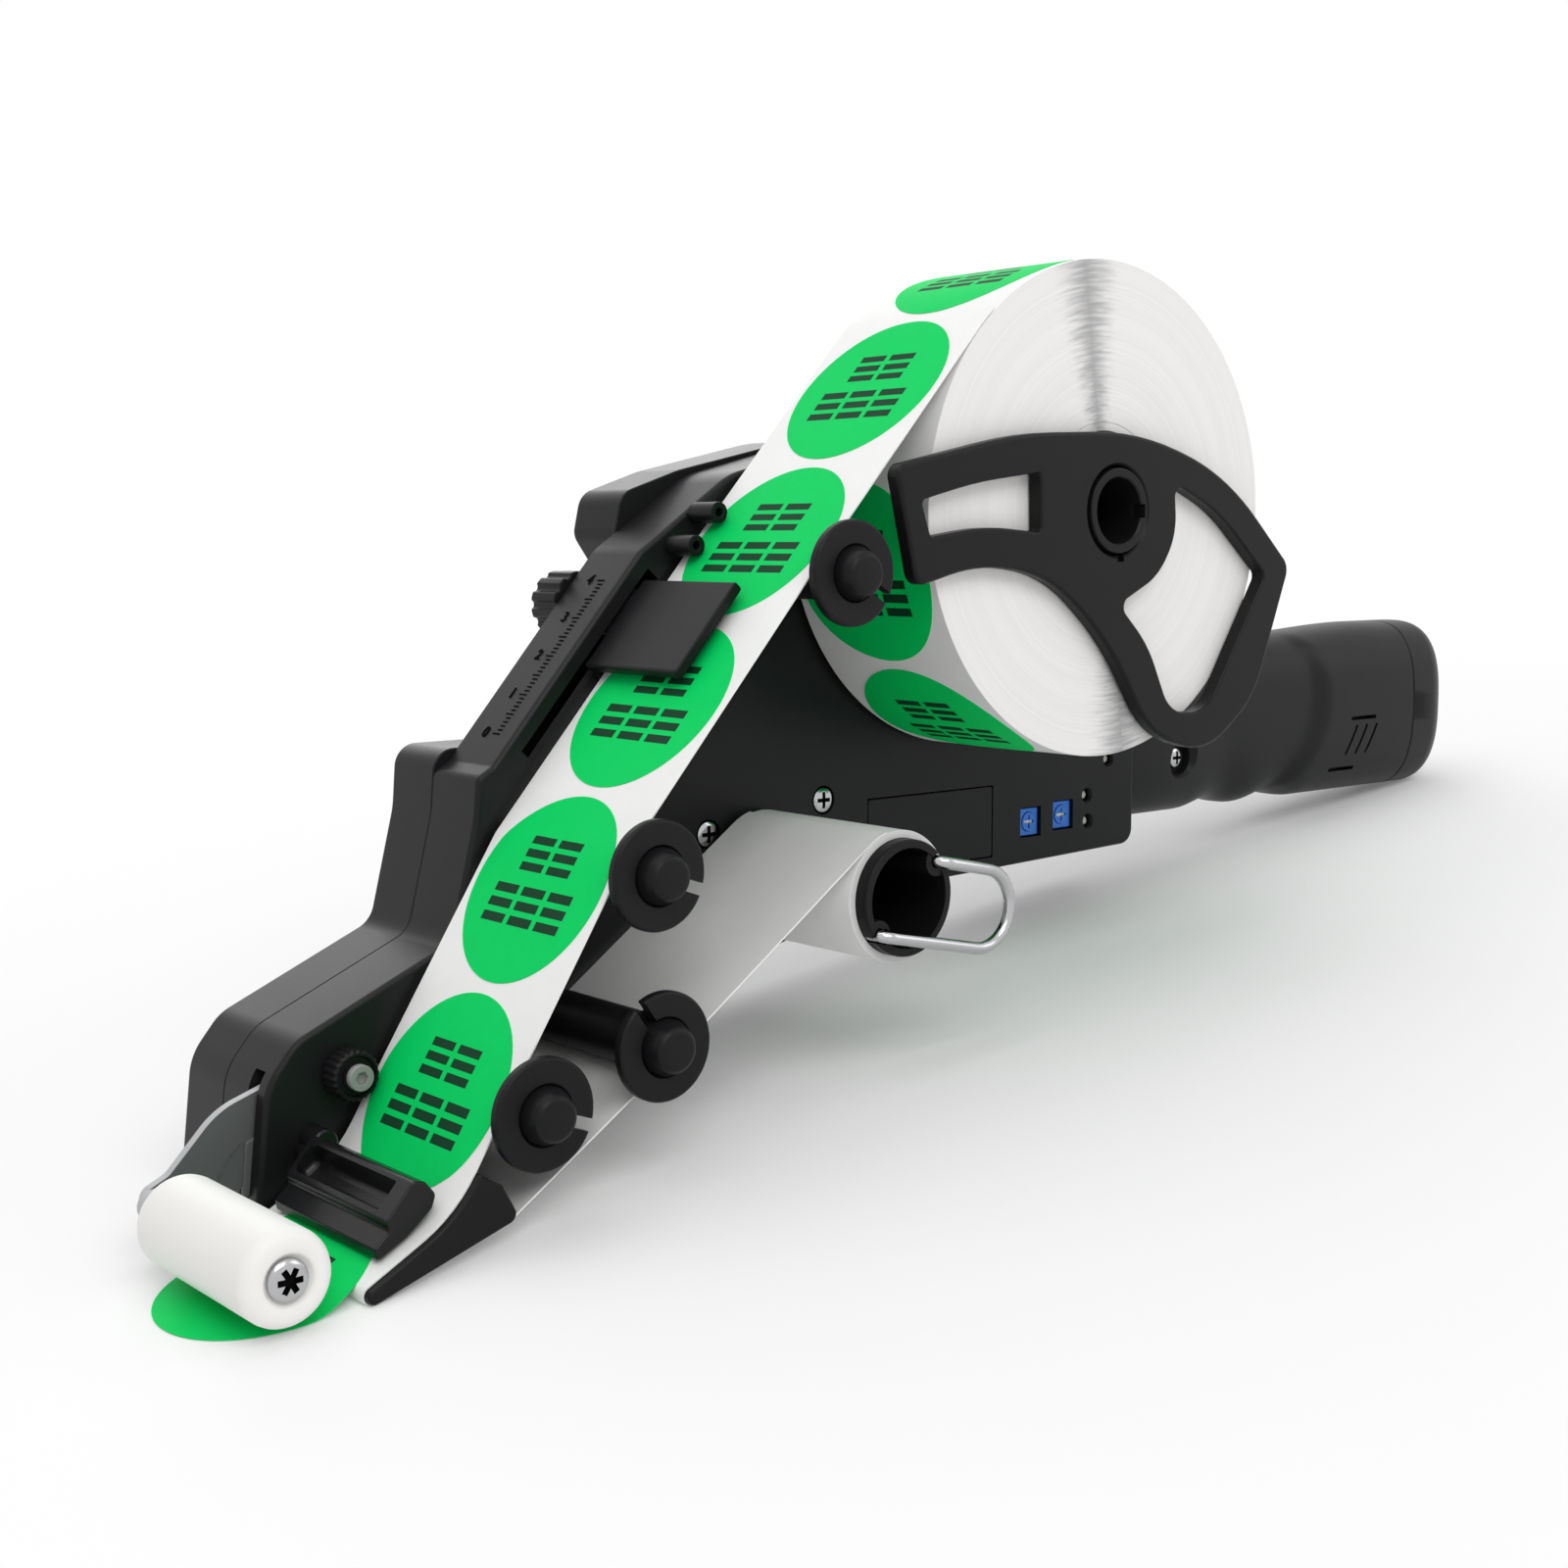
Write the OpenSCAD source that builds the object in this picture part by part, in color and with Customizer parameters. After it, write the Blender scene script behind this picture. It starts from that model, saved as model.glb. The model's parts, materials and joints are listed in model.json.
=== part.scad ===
// Battery-driven hand label applicator.
// It is drawn in a machine frame: X runs from the front roller to the handle, Z is up with a level handle,
// and Y runs from the label side into the housing. stand() then sets it on the floor.

/* [Label web] */
// Diameter of a round label
label_d = 40; // [30:0.5:42]
// Gap between two labels on the liner
label_gap = 2.5; // [1:0.5:6]
// How far the centre of the dispensed label stands past the nose
label_out = 8; // [5:0.5:9]
// How far back from the nose the first label on the liner is centred
first_label = 37.5; // [34:0.5:42]
// Width of the liner
web_w = 43.2; // [42.4:0.1:44]
// Thickness of the liner
web_t = 0.3; // [0.2:0.05:0.4]
// Thickness of a label
label_t = 0.15; // [0.1:0.05:0.25]
// Clearance between the web and what it runs over
web_gap = 0.1; // [0.05:0.05:0.2]

/* [Supply roll] */
// Axis of the supply roll
roll_at = [134.4, 71.3]; // [60:0.1:150]
// Radius of the supply roll
roll_r = 53.6; // [45:0.1:55]
// Outer radius of the card core
core_r = 19; // [18:0.1:22]
// Wall of the card core
core_wall = 1.8; // [1:0.1:2.5]
// Bore of the spindle
spindle_bore_r = 7.2; // [5:0.1:8]
// Radius of the spindle's end ring
spindle_ring_r = 9.7; // [9:0.1:11]

/* [Guide rollers] */
// Axes of the guide rollers b, c and d
guide_bcd_at = [[9.3, 4.4], [10.4, -27.5], [-16.2, -35.5]]; // [-40:0.1:20]
// Distance of guide roller a from roller b along the web
guide_a_span = 72.2; // [70:0.1:75]
// How far roller a presses into the straight run from the roll to roller b
guide_a_dip = 0.7; // [0.2:0.1:1]
// Radius of a guide roller
guide_r = 5.3; // [4.5:0.1:5.6]
// Radius of a guide axle
axle_r = 2; // [1.5:0.1:2.5]
// Radius of an edge flange
flange_r = 10.4; // [8:0.1:11]
// Thickness of an edge flange
flange_t = 2.2; // [1.5:0.1:2.6]
// Width of the snap notch in a flange
flange_notch = 2.4; // [1.5:0.1:4]
// Length of the roller's domed end past its flange
dome_l = 4; // [3:0.1:5]

/* [Housing] */
// Label-side face of the housing
near_y = 23.2; // [23:0.1:24]
// Joint between the two shells
seam_y = 40; // [39:0.1:41]
// Far face of the housing
far_y = 56; // [55:0.1:60]
// Wall of the shells
wall = 2.4; // [2:0.1:2.6]

/* [Handle] */
// Where the handle meets the housing
grip_x = 199.6; // [199.6:0.1:202]
// Length of the grip without its cap
grip_l = 127; // [120:0.5:150]
// Length of the end cap
cap_l = 22; // [18:0.5:26]
// Height of the grip
grip_h = 49; // [48:0.5:51]
// Width of the grip
grip_w = 32; // [31:0.5:33]
// Height of the grip's centre line
grip_z = 16.6; // [16:0.1:18]
// Depth of the finger grooves
finger_depth = 2; // [0.5:0.1:3]
// Rounding of the cap's end
cap_round = 12; // [8:0.5:13]

/* [Front] */
// Axis of the applicator roller
roller_at = [-65.2, -54.6]; // [-66:0.1:-54]
// Radius of the applicator roller
roller_r = 8.5; // [8:0.1:9]
// Pivot of the roller arm
arm_at = [-33, -41]; // [-42:0.1:-32]
// Thickness of the roller arm
arm_t = 2; // [1.5:0.1:2.2]
// Centre of the peel nose
nose_at = [-49, -61.6]; // [-62:0.05:-48]
// Radius of the peel nose
nose_r = 1.4; // [1:0.1:1.5]
// Lower back corner of the peel platen
platen_back = [-22.4, -52.9]; // [-54:0.1:-22]
// Rounding of the platen's heel
heel_r = 1.8; // [1:0.1:2.2]
// Centre of the web's bend down to the platen
bend_at = [-51.9, -29.8]; // [-53:0.1:-29]
// Radius of that bend
bend_r = 28; // [27.8:0.05:28.2]
// Axis of the edge wheel
edge_at = [-29.1, -34.9]; // [-36:0.1:-29]
// Radius of the edge wheel
edge_r = 5; // [4:0.1:5.2]

/* [Take-up] */
// Axis of the take-up spool
spool_at = [73.3, -7]; // [-8:0.1:75]
// Outer radius of the spool tube
spool_r = 12; // [11:0.1:12.2]
// Wall of the spool tube
spool_wall = 4; // [3.6:0.1:4.4]
// Radius of the wound waste liner
waste_r = 13.6; // [13:0.1:14.5]
// Radius of the clip's wire
wire_r = 1.3; // [1:0.1:1.5]
// Teeth of the spool gear
spool_teeth = 26; // [26:1:26]
// Teeth of the motor pinion
pinion_teeth = 14; // [14:1:14]

/* [Gap sensor] */
// Place of the sensor along the scale
sensor_s = 50; // [34:0.5:50]
// Length of the sensor along the scale
sensor_l = 23; // [18:0.5:24]
// Radius of the sensor's clamp knob
knob_r = 7.2; // [6:0.1:7.4]

/* [Hidden] */
$fn = 64;

// Radial clearance of a running fit, and clearance between moving faces
run = 0.06;
play = 0.3;

// Colours
charcoal = [0.15, 0.15, 0.165];
gloss_black = [0.05, 0.05, 0.055];
steel = [0.75, 0.76, 0.78];
white = [0.96, 0.955, 0.945];
green = [0, 0.82, 0.36];
card = [0.72, 0.6, 0.44];
blue = [0.1, 0.35, 0.8];

// Stations across the machine
inner_y = near_y + wall;
web_y = web_w / 2;
flange_y = -web_y - 4.4;
dome_y = flange_y - dome_l;
label_pitch = label_d + label_gap;

// Plane geometry: unit vector of a heading, its right-hand normal, and a wheel's signed radius
function dir(a) = [cos(a), sin(a)];
function nrm(a) = [sin(a), -cos(a)];
function unit(v) = v / norm(v);
function xy(p) = [p.x, p.y];
function turn(a, b) = (b - a + 900) % 360 - 180;

// Heading of the line that leaves wheel 1 for wheel 2; a positive radius is a wheel on the left of the line
function heading(c1, s1, c2, s2) =
    let (d = c2 - c1) atan2(d.y, d.x) + 90 - acos((s1 - s2) / norm(d));

// A web's points as [x, z, heading], from wheels given as [centre, signed radius]
function wrap(c, s, h0, h1, step) =
    let (d = turn(h0, h1), n = ceil(abs(d) / step - 0.001))
    [for (i = [0 : n]) let (h = h0 + d * i / max(n, 1), p = c + s * nrm(h)) [p.x, p.y, h]];
function headings(w) = [for (i = [0 : len(w) - 2]) heading(w[i][0], w[i][1], w[i + 1][0], w[i + 1][1])];
function web_path(w, first, last) =
    let (h = headings(w), n = len(w))
    [for (i = [0 : n - 1])
        let (h0 = i == 0 ? h[0] + first : h[i - 1], h1 = i == n - 1 ? h[n - 2] + last : h[i])
        each wrap(w[i][0], w[i][1], h0, h1, 6)];

// A band between two offsets of a path
function shifted(p, o) = [for (q = p) xy(q) + o * nrm(q.z)];
function reversed(p) = [for (i = [len(p) - 1 : -1 : 0]) p[i]];
module band(p, o0, o1) {
    polygon(concat(shifted(p, o0), reversed(shifted(p, o1))));
}

// Length of a path, and the point and heading at a distance back from its end
function path_length(p) =
    let (steps = [for (i = [1 : len(p) - 1]) norm(xy(p[i]) - xy(p[i - 1]))])
    steps * [for (s = steps) 1];
function back_along(p, s, i) =
    let (d = norm(xy(p[i]) - xy(p[i - 1])))
    s <= d || i == 1 ? let (u = (xy(p[i - 1]) - xy(p[i])) / d, q = xy(p[i]) + u * s)
        [q.x, q.y, atan2(-u.y, -u.x)]
    : back_along(p, s - d, i - 1);

// Outlines: [x, z, rounding] corners made into points, and an outline moved inwards
function fillet(a, b, c, r) =
    let (u = unit(xy(a) - xy(b)), v = unit(xy(c) - xy(b)), half = acos(max(-1, min(1, u * v))) / 2)
    half > 89 || r <= 0 ? [xy(b)] :
    let (t = min(r / tan(half), 0.48 * min(norm(xy(a) - xy(b)), norm(xy(c) - xy(b)))),
        m = xy(b) + unit(u + v) * t / cos(half), p = xy(b) + u * t - m, q = xy(b) + v * t - m,
        a0 = atan2(p.y, p.x), sweep = turn(a0, atan2(q.y, q.x)), n = max(1, ceil(abs(sweep) / 9)))
    [for (i = [0 : n]) m + norm(p) * dir(a0 + sweep * i / n)];
function rounded(p) =
    let (n = len(p)) [for (i = [0 : n - 1]) each fillet(p[(i + n - 1) % n], p[i], p[(i + 1) % n], p[i].z)];
function inset(p, w) =
    let (n = len(p))
    [for (i = [0 : n - 1])
        let (d1 = unit(xy(p[i]) - xy(p[(i + n - 1) % n])), d2 = unit(xy(p[(i + 1) % n]) - xy(p[i])),
            n1 = [-d1.y, d1.x], n2 = [-d2.y, d2.x], q = xy(p[i]) + w * (n1 + n2) / (1 + n1 * n2))
        [q.x, q.y, cross(d1, d2) > 0 ? max(p[i].z - w, 0.4) : p[i].z + w]];

// Solids across the machine: an outline and a round bar
module across(y0, y1) {
    translate([0, y1, 0]) rotate([90, 0, 0]) linear_extrude(y1 - y0) children();
}
module bar(at, r, y0, y1) {
    translate([at.x, y1, at.y]) rotate([90, 0, 0]) cylinder(r = r, h = y1 - y0);
}
module tube(at, r, hole, y0, y1) {
    difference() {
        bar(at, r, y0, y1);
        bar(at, hole, y0 - 1, y1 + 1);
    }
}
// A solid of revolution about an axis across the machine, drawn as [radius, y] points
module turned(at) {
    translate([at.x, 0, at.y]) rotate([-90, 0, 0]) rotate_extrude() children();
}

// A solid through rings of points, each ring turning from +Y to +Z as it goes along +X
module loft(rings) {
    n = len(rings[0]);
    m = len(rings);
    polyhedron([for (r = rings) each r], concat(
        [[for (j = [0 : n - 1]) j]],
        [for (i = [0 : m - 2], j = [0 : n - 1]) let (k = (j + 1) % n)
            each [[i * n + j, i * n + n + j, i * n + n + k], [i * n + j, i * n + n + k, i * n + k]]],
        [[for (j = [n - 1 : -1 : 0]) (m - 1) * n + j]]));
}

// The web's two runs
guide_s = guide_r + web_gap;
nose_s = nose_r + web_gap;
roll_s = roll_r + label_t + web_gap;
run_heading = heading(roll_at, roll_s, guide_bcd_at[0], guide_s);
guide_a_at = guide_bcd_at[0] - guide_a_span * dir(run_heading) + guide_a_dip * nrm(run_heading);
guide_at = concat([guide_a_at], guide_bcd_at);
supply_wheels = [[roll_at, roll_s], [guide_at[0], guide_s], [guide_at[1], guide_s],
    [guide_at[3], guide_s], [bend_at, -bend_r], [nose_at, nose_s]];
platen_heading = headings(supply_wheels)[4];
waste_wheels = [[nose_at, nose_s], [platen_back, heel_r + web_gap], [guide_at[2], guide_s],
    [spool_at, -(waste_r + web_t + web_gap)]];
roll_hug = 7;
supply_path = web_path(supply_wheels, -roll_hug, 0);
waste_first = turn(headings(waste_wheels)[0], platen_heading);
waste_path = web_path(waste_wheels, waste_first, -20);
scale_heading = headings(supply_wheels)[1] + 180;
scale_from = guide_at[1] + guide_s * nrm(scale_heading - 180);

// Places on the platen, from the nose up along it and out of it, and along the scale and out of it
function on_platen(u, v) = nose_at + (nose_s + v) * nrm(platen_heading) - u * dir(platen_heading);
function on_scale(s, v) = scale_from + s * dir(scale_heading) - v * nrm(scale_heading);

// The floor touches the dispensed label under the roller and the rounded end of the handle
label_lift = 2;
floor_s = roller_r + label_lift + label_t;
grip_y = (near_y + far_y) / 2;
grip_end = grip_x + grip_l;
cap_end = grip_end + cap_l;
cap_low = [cap_end - cap_round, grip_z - grip_h / 2 + cap_round];
cap_high = [cap_end - cap_round, grip_z + grip_h / 2 - cap_round];
lean = heading(roller_at, floor_s, cap_low, cap_round);
function upright(p) = [cos(lean) * p.x + sin(lean) * p.y, cos(lean) * p.y - sin(lean) * p.x];

// The dispensed label bends from the platen to the floor
label_bend = 15;
floor_at = roller_at + floor_s * nrm(lean);
label_corner = let (p = on_platen(0, web_t), d = dir(platen_heading), n = nrm(lean))
    p + d * ((floor_at - p) * n) / (d * n);
bend_turn = -turn(platen_heading, lean + 180);
bend_t = label_bend * tan(bend_turn / 2);
label_start = on_platen(label_d / 2 - label_out, web_t);
bend_start = label_corner - bend_t * dir(platen_heading);
bend_end = label_corner + bend_t * dir(lean + 180);
bend_centre = bend_start + label_bend * nrm(platen_heading);
label_mid = on_platen(-label_out, web_t);
label_heading = (platen_heading + 360 + lean + 180) / 2;
label_tip = bend_end + dir(lean + 180) * (label_d / 2 - (bend_end - label_mid) * dir(label_heading))
    / cos(label_heading - lean - 180);
label_spare = 2;
label_first = label_start - label_spare * dir(platen_heading);
label_last = label_tip + label_spare * dir(lean + 180);
label_path = concat([[label_first.x, label_first.y, platen_heading]],
    wrap(bend_centre, -label_bend, platen_heading, lean + 180, 5),
    [[label_last.x, label_last.y, lean + 180]]);

// Where the whole machine stands: its box is centred over the origin, on the floor
front_x = upright(label_tip).x;
back_x = upright(cap_high).x + cap_round;
stand_shift = [-(front_x + back_x) / 2, -(dome_y + far_y) / 2, -upright(floor_at).y];
module stand() {
    translate(stand_shift) rotate([0, lean, 0]) children();
}

// Housing outlines, from the lower back corner up, over the top and down the front
// The corners beside the scale are drawn for one heading of it, and turn about guide b with the scale
scale_drawn_turn = 48.661766;
function by_scale(c) = let (gap = [c.x, c.y] - guide_at[1], a = scale_heading - scale_drawn_turn)
    [guide_at[1].x + cos(a) * gap.x - sin(a) * gap.y, guide_at[1].y + sin(a) * gap.x + cos(a) * gap.y, c.z];
back_corners = [[grip_x, -12.6, 4], [grip_x, 44, 10], [172, 76, 24], [138, 88, 24]];
front_corners = [[1.2, 10, 20], [-4.6, -13.2, 6], [-38.6, -27.8, 10], [-44.9, -35.4, 12],
    [-47.6, -59.6, 1.5], [-22, -54.8, 8], [14, -42, 20], [60, -30, 30], [112, -15.5, 24]];
near_corners = concat(back_corners,
    [[98, 87, 40], [66, 79, 20]],
    [for (c = [[42, 62.8, 8], [5.5, 20.6, 2], [2, 18.6, 2.5]]) by_scale(c)], front_corners);
far_corners = concat(back_corners,
    [[98, 87.6, 40], [65, 80.2, 20]],
    [for (c = [[49.5, 75, 5], [47.5, 66, 4], [54, 57, 4], [30.5, 27, 10], [27, 23, 4]]) by_scale(c)],
    [[2.2, 23, 5]], front_corners);

// Small pieces on the housing
screw_at = [[92.5, 7], [59.5, 2.2]];
far_screw_at = [[186, 34], [108, 62], [-28.5, -30], [38, -22]];
screw_r = 1.45;
screw_head_r = 3;
screw_head_h = 1.6;
near_screw_l = 18;
near_screw_sink = 1.4;
far_screw_l = 16;
far_screw_sink = 2;
trimmer_at = [[160.8, -3.9], [172.6, -3.1]];
trimmer_size = 6.8;
led_at = [[181.5, 1.1], [182, -5.5], [189.5, 9.7]];
led_r = 1.4;
hatch = [[106, -11.4, 1], [147.4, -11.4, 1], [147.4, 6.2, 1], [106, 6.2, 1]];
hatch_gap = 0.3;
hatch_lip = [1.6, -1.5];
hatch_lip_t = 1.2;
board = [[150, -9.5], [197, 16]];
board_y = 30;
board_t = 1.6;
button_at = [172, 24];
button_r = 5;

// Slot along which the sensor's stem slides
slot_v = 3.2;
slot_w = 3.4;
slot_from = 16;
slot_to = 64;
module scale_slot(w) {
    p = on_scale(slot_from, slot_v);
    q = on_scale(slot_to, slot_v);
    polygon([for (k = [[p, 1], [q, 1], [q, -1], [p, -1]]) k[0] + k[1] * w / 2 * nrm(scale_heading)]);
}

// Shaft of the take-up spool and its drive
shaft_r = 4;
gear_m = 1;
gear_y = 27.4;
gear_t = 4;
drive_turn = 100;
motor_at = spool_at + gear_m * (spool_teeth + pinion_teeth) / 2 * dir(drive_turn);
motor_r = 10;
pinion_shaft_r = 1.5;
arm_y = 27.6;
arm_slot = 0.9;
arm_window = [[-60, -33], [-40, -31], [-36, -44], [-40, -59], [-60, -62]];

module shell_tray(corners, y_face, y_open, y_floor) {
    difference() {
        across(min(y_face, y_open), max(y_face, y_open)) polygon(rounded(corners));
        across(min(y_floor, y_open + (y_open - y_face)), max(y_floor, y_open + (y_open - y_face)))
            polygon(rounded(inset(corners, wall)));
    }
}

module frame_shell() {
    color(charcoal) stand() difference() {
        union() {
            shell_tray(near_corners, near_y, seam_y, inner_y);
            // Wall that closes the scale channel where the cover steps down
            across(seam_y - wall, seam_y) difference() {
                polygon(rounded(inset(near_corners, wall / 2)));
                polygon(rounded(inset(far_corners, wall)));
            }
            // Bosses for the axles, the spindle, the spool shaft, the platen, the press pin and the board
            for (at = guide_at) bar(at, axle_r + 2.4, inner_y - 0.5, inner_y + 7);
            bar(roll_at, spindle_ring_r, inner_y - 0.5, inner_y + 6);
            bar(arm_at, 3.4, inner_y - 0.5, arm_y - play);
            for (at = far_screw_at) bar(at, 3.2, inner_y - 0.5, seam_y);
            for (x = [board[0].x + 3, board[1].x - 3])
                bar([x, board[1].y - 3], 2.4, inner_y - 0.5, board_y);
        }
        for (at = guide_at) bar(at, axle_r, near_y - 1, inner_y + 6);
        for (at = screw_at) {
            bar(at, screw_r + 0.15, near_y - 1, inner_y + 1);
            bar(at, screw_head_r + 0.1, near_y - 1, near_y + near_screw_sink);
        }
        for (at = far_screw_at) bar(at, screw_r, seam_y - 4, seam_y + 1);
        bar(spool_at, shaft_r + run, near_y - 1, inner_y + 1);
        bar(arm_at, 2, inner_y - 1, arm_y);
        bar(press_pin_at, press_pin_r, near_y - 1, inner_y + 1);
        bar(edge_at, 1.5, near_y - 1, inner_y + 1);
        across(near_y - 1, inner_y + 1) scale_slot(slot_w);
        across(seam_y - wall - 1, seam_y + 1) scale_slot(slot_w);
        across(near_y - 1, inner_y + 1) polygon(rounded(hatch));
        for (at = trimmer_at) translate([at.x, near_y, at.y])
            cube([trimmer_size + 0.6, 2 * wall + 2, trimmer_size + 0.6], center = true);
        for (at = led_at) bar(at, led_r + 0.1, near_y - 1, inner_y + 1);
        // Slot in the front wall for the roller arm
        across(arm_y - arm_slot, arm_y + arm_t + arm_slot)
            polygon(arm_window);
    }
}

module cover_shell() {
    color(charcoal) stand() difference() {
        union() {
            shell_tray(far_corners, far_y, seam_y, far_y - wall);
            // Plate that closes the fin where the cover stands above the frame
            across(seam_y, seam_y + wall) difference() {
                polygon(rounded(inset(far_corners, wall / 2)));
                polygon(rounded(inset(near_corners, wall)));
            }
            for (at = screw_at) bar(at, 3.2, 33, far_y - wall + 0.5);
            for (at = far_screw_at) bar(at, 3.2, seam_y, far_y - wall + 0.5);
            bar(spool_at, shaft_r + 2.4, 50, far_y - wall + 0.5);
        }
        for (at = screw_at) bar(at, screw_r, 32, 47);
        for (at = far_screw_at) {
            bar(at, screw_r + 0.1, seam_y - 1, far_y + 1);
            bar(at, screw_head_r + 0.1, far_y - far_screw_sink, far_y + 1);
        }
        bar(spool_at, shaft_r + run, 49, far_y - wall - 0.5);
        bar(button_at, button_r + play, far_y - wall - 1, far_y + 1);
    }
}

module access_hatch() {
    low = xy(hatch[0]) - hatch_lip;
    high = xy(hatch[2]) + hatch_lip;
    color(charcoal) stand() {
        across(near_y, inner_y) polygon(rounded(inset(hatch, hatch_gap)));
        // Lips at its two ends, behind the wall
        translate([low.x, inner_y, low.y]) cube([high.x - low.x, hatch_lip_t, high.y - low.y]);
    }
}

// A pan-head screw with a cross recess, head towards the label side or the far side
module screw(at, r, head_r, head_h, y_seat, l, way) {
    translate([at.x, y_seat, at.y]) rotate([way > 0 ? 90 : -90, 0, 0]) difference() {
        union() {
            translate([0, 0, -l]) cylinder(r = r, h = l);
            cylinder(r = head_r, h = head_h);
        }
        for (a = [0, 90]) rotate(a) translate([0, 0, head_h])
            cube([head_r * 1.1, head_r * 0.28, head_h], center = true);
    }
}

module shell_screws() {
    color(steel) stand() {
        for (at = screw_at)
            screw(at, screw_r, screw_head_r, screw_head_h, near_y + near_screw_sink, near_screw_l, 1);
        for (at = far_screw_at)
            screw(at, screw_r, screw_head_r, screw_head_h, far_y - far_screw_sink, far_screw_l, -1);
    }
}

// Handle: rings of rounded section along X
grip_round = 2.7;
grip_sides = 40;
function grip_ring(x, low, high, half_w) =
    [for (i = [0 : grip_sides - 1])
        let (a = 360 * i / grip_sides, c = cos(a), s = sin(a))
        [x, grip_y + half_w * sign(c) * pow(abs(c), 2 / grip_round),
            (low + high) / 2 + (high - low) / 2 * sign(s) * pow(abs(s), 2 / grip_round)]];
// The grip is a little slimmer in its middle, with finger grooves below
finger_from = 30;
finger_pitch = 26;
finger_count = 2;
function finger(d) = d < finger_from || d > finger_from + finger_count * finger_pitch ? 0 :
    finger_depth / 2 * (1 - cos(360 * (d - finger_from) / finger_pitch));
function waist(d) = 2.4 * (0.5 - 0.5 * cos(360 * min(1, max(0, (d - 8) / 110))));
function grip_station(d) = grip_ring(grip_x + d, grip_z - grip_h / 2 + finger(d),
    grip_z + grip_h / 2 - waist(d), grip_w / 2 - 0.5 * waist(d));
cell_r = 9.2;
cell_l = 65;
cell_rows = [-cell_r - 0.4, cell_r + 0.4];
module along_grip(r, z, x0, x1) {
    translate([x0, grip_y, grip_z + z]) rotate([0, 90, 0]) cylinder(r = r, h = x1 - x0);
}
handle_screw_at = [221.5, 7.6];

module handle_grip() {
    color(charcoal) stand() difference() {
        loft([for (d = [0 : 4 : grip_l]) grip_station(d)]);
        for (z = cell_rows) along_grip(cell_r, z, grip_x + 12, grip_end + 1);
        translate([grip_x + 12, grip_y - 6, grip_z - 8]) cube([grip_l, 12, 16]);
        bar(handle_screw_at, 4.4, near_y - 6, near_y + 5.5);
        bar(handle_screw_at, screw_r, near_y, near_y + 14);
    }
}

function cap_station(x, cut) =
    grip_ring(x, grip_z - grip_h / 2 + cut, grip_z + grip_h / 2 - cut, grip_w / 2 - cut);
module handle_cap() {
    color(charcoal) stand() {
        loft(concat([cap_station(grip_end + play, 0)],
            [for (a = [10 : 10 : 90])
                cap_station(cap_end - cap_round * (1 - sin(a)), cap_round * (1 - cos(a)))]));
        for (z = cell_rows) along_grip(cell_r - 0.4, z, grip_end - 3, grip_end + play + 1);
    }
}

module handle_screw() {
    color(steel) stand() screw(handle_screw_at, screw_r - 0.1, 2.8, 1.8, near_y + 5.5, 8, 1);
}

module battery_cells() {
    color(blue) stand() for (z = cell_rows) along_grip(cell_r, z, grip_end - 3.4 - cell_l, grip_end - 3.4);
}

module control_board() {
    color([0.05, 0.3, 0.15]) stand() translate([board[0].x, board_y, board[0].y])
        cube([board[1].x - board[0].x, board_t, board[1].y - board[0].y]);
}

module trimmer_cases() {
    color(blue) stand() for (at = trimmer_at) difference() {
        translate([at.x, (near_y + 0.8 + board_y) / 2, at.y])
            cube([trimmer_size, board_y - near_y - 0.8, trimmer_size], center = true);
        bar(at, 2.3 + run, near_y, near_y + 2.8);
    }
}

module trimmer_rotor(i) {
    color(white) stand() difference() {
        bar(trimmer_at[i], 2.3, near_y + 0.6, near_y + 2.6);
        for (s = [[3.4, 0.7], [0.7, 3.4]]) translate([trimmer_at[i].x, near_y + 0.6, trimmer_at[i].y])
            cube([s.x, 1.2, s.y], center = true);
    }
}
module trimmer_rotor_1() { trimmer_rotor(0); }
module trimmer_rotor_2() { trimmer_rotor(1); }

module status_leds() {
    color([0.8, 0.1, 0.08]) stand() for (at = led_at) bar(at, led_r, near_y + 0.8, board_y);
}

module feed_switch() {
    color(gloss_black) stand() translate([-24, inner_y, -30.8]) cube([12, 6, 5.2]);
}

// Power button: a cap with a shoulder behind the wall
module power_button() {
    color(gloss_black) stand() {
        bar(button_at, button_r, far_y - wall - 4, far_y - 0.4);
        bar(button_at, button_r + 1.6, far_y - wall - 4, far_y - wall - play);
    }
}

// A gear outline with a tooth on the heading a
function gear_points(teeth, a) =
    let (r = gear_m * teeth / 2, p = 360 / teeth)
    [for (i = [0 : teeth - 1]) let (t = a + i * p)
        each [for (k = [[-0.31, -1.15], [-0.12, 0.85], [0.12, 0.85], [0.31, -1.15]])
            (r + k[1] * gear_m) * dir(t + k[0] * p)]];
module gear(at, teeth, a, y0, y1) {
    translate([at.x, 0, at.y]) across(y0, y1) polygon(gear_points(teeth, a));
}

module spool_gear() {
    color(white) stand() difference() {
        gear(spool_at, spool_teeth, drive_turn, gear_y, gear_y + gear_t);
        bar(spool_at, shaft_r, gear_y - 1, gear_y + gear_t + 1);
    }
}

module motor_pinion() {
    color(steel) stand() {
        gear(motor_at, pinion_teeth, drive_turn + 180 + 180 / pinion_teeth, gear_y, gear_y + gear_t);
        bar(motor_at, pinion_shaft_r, gear_y + gear_t - 1, 38);
    }
}

module drive_motor() {
    color(steel) stand() difference() {
        bar(motor_at, motor_r, 34, far_y - wall);
        bar(motor_at, pinion_shaft_r + run, 33, 40);
    }
}

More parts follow.
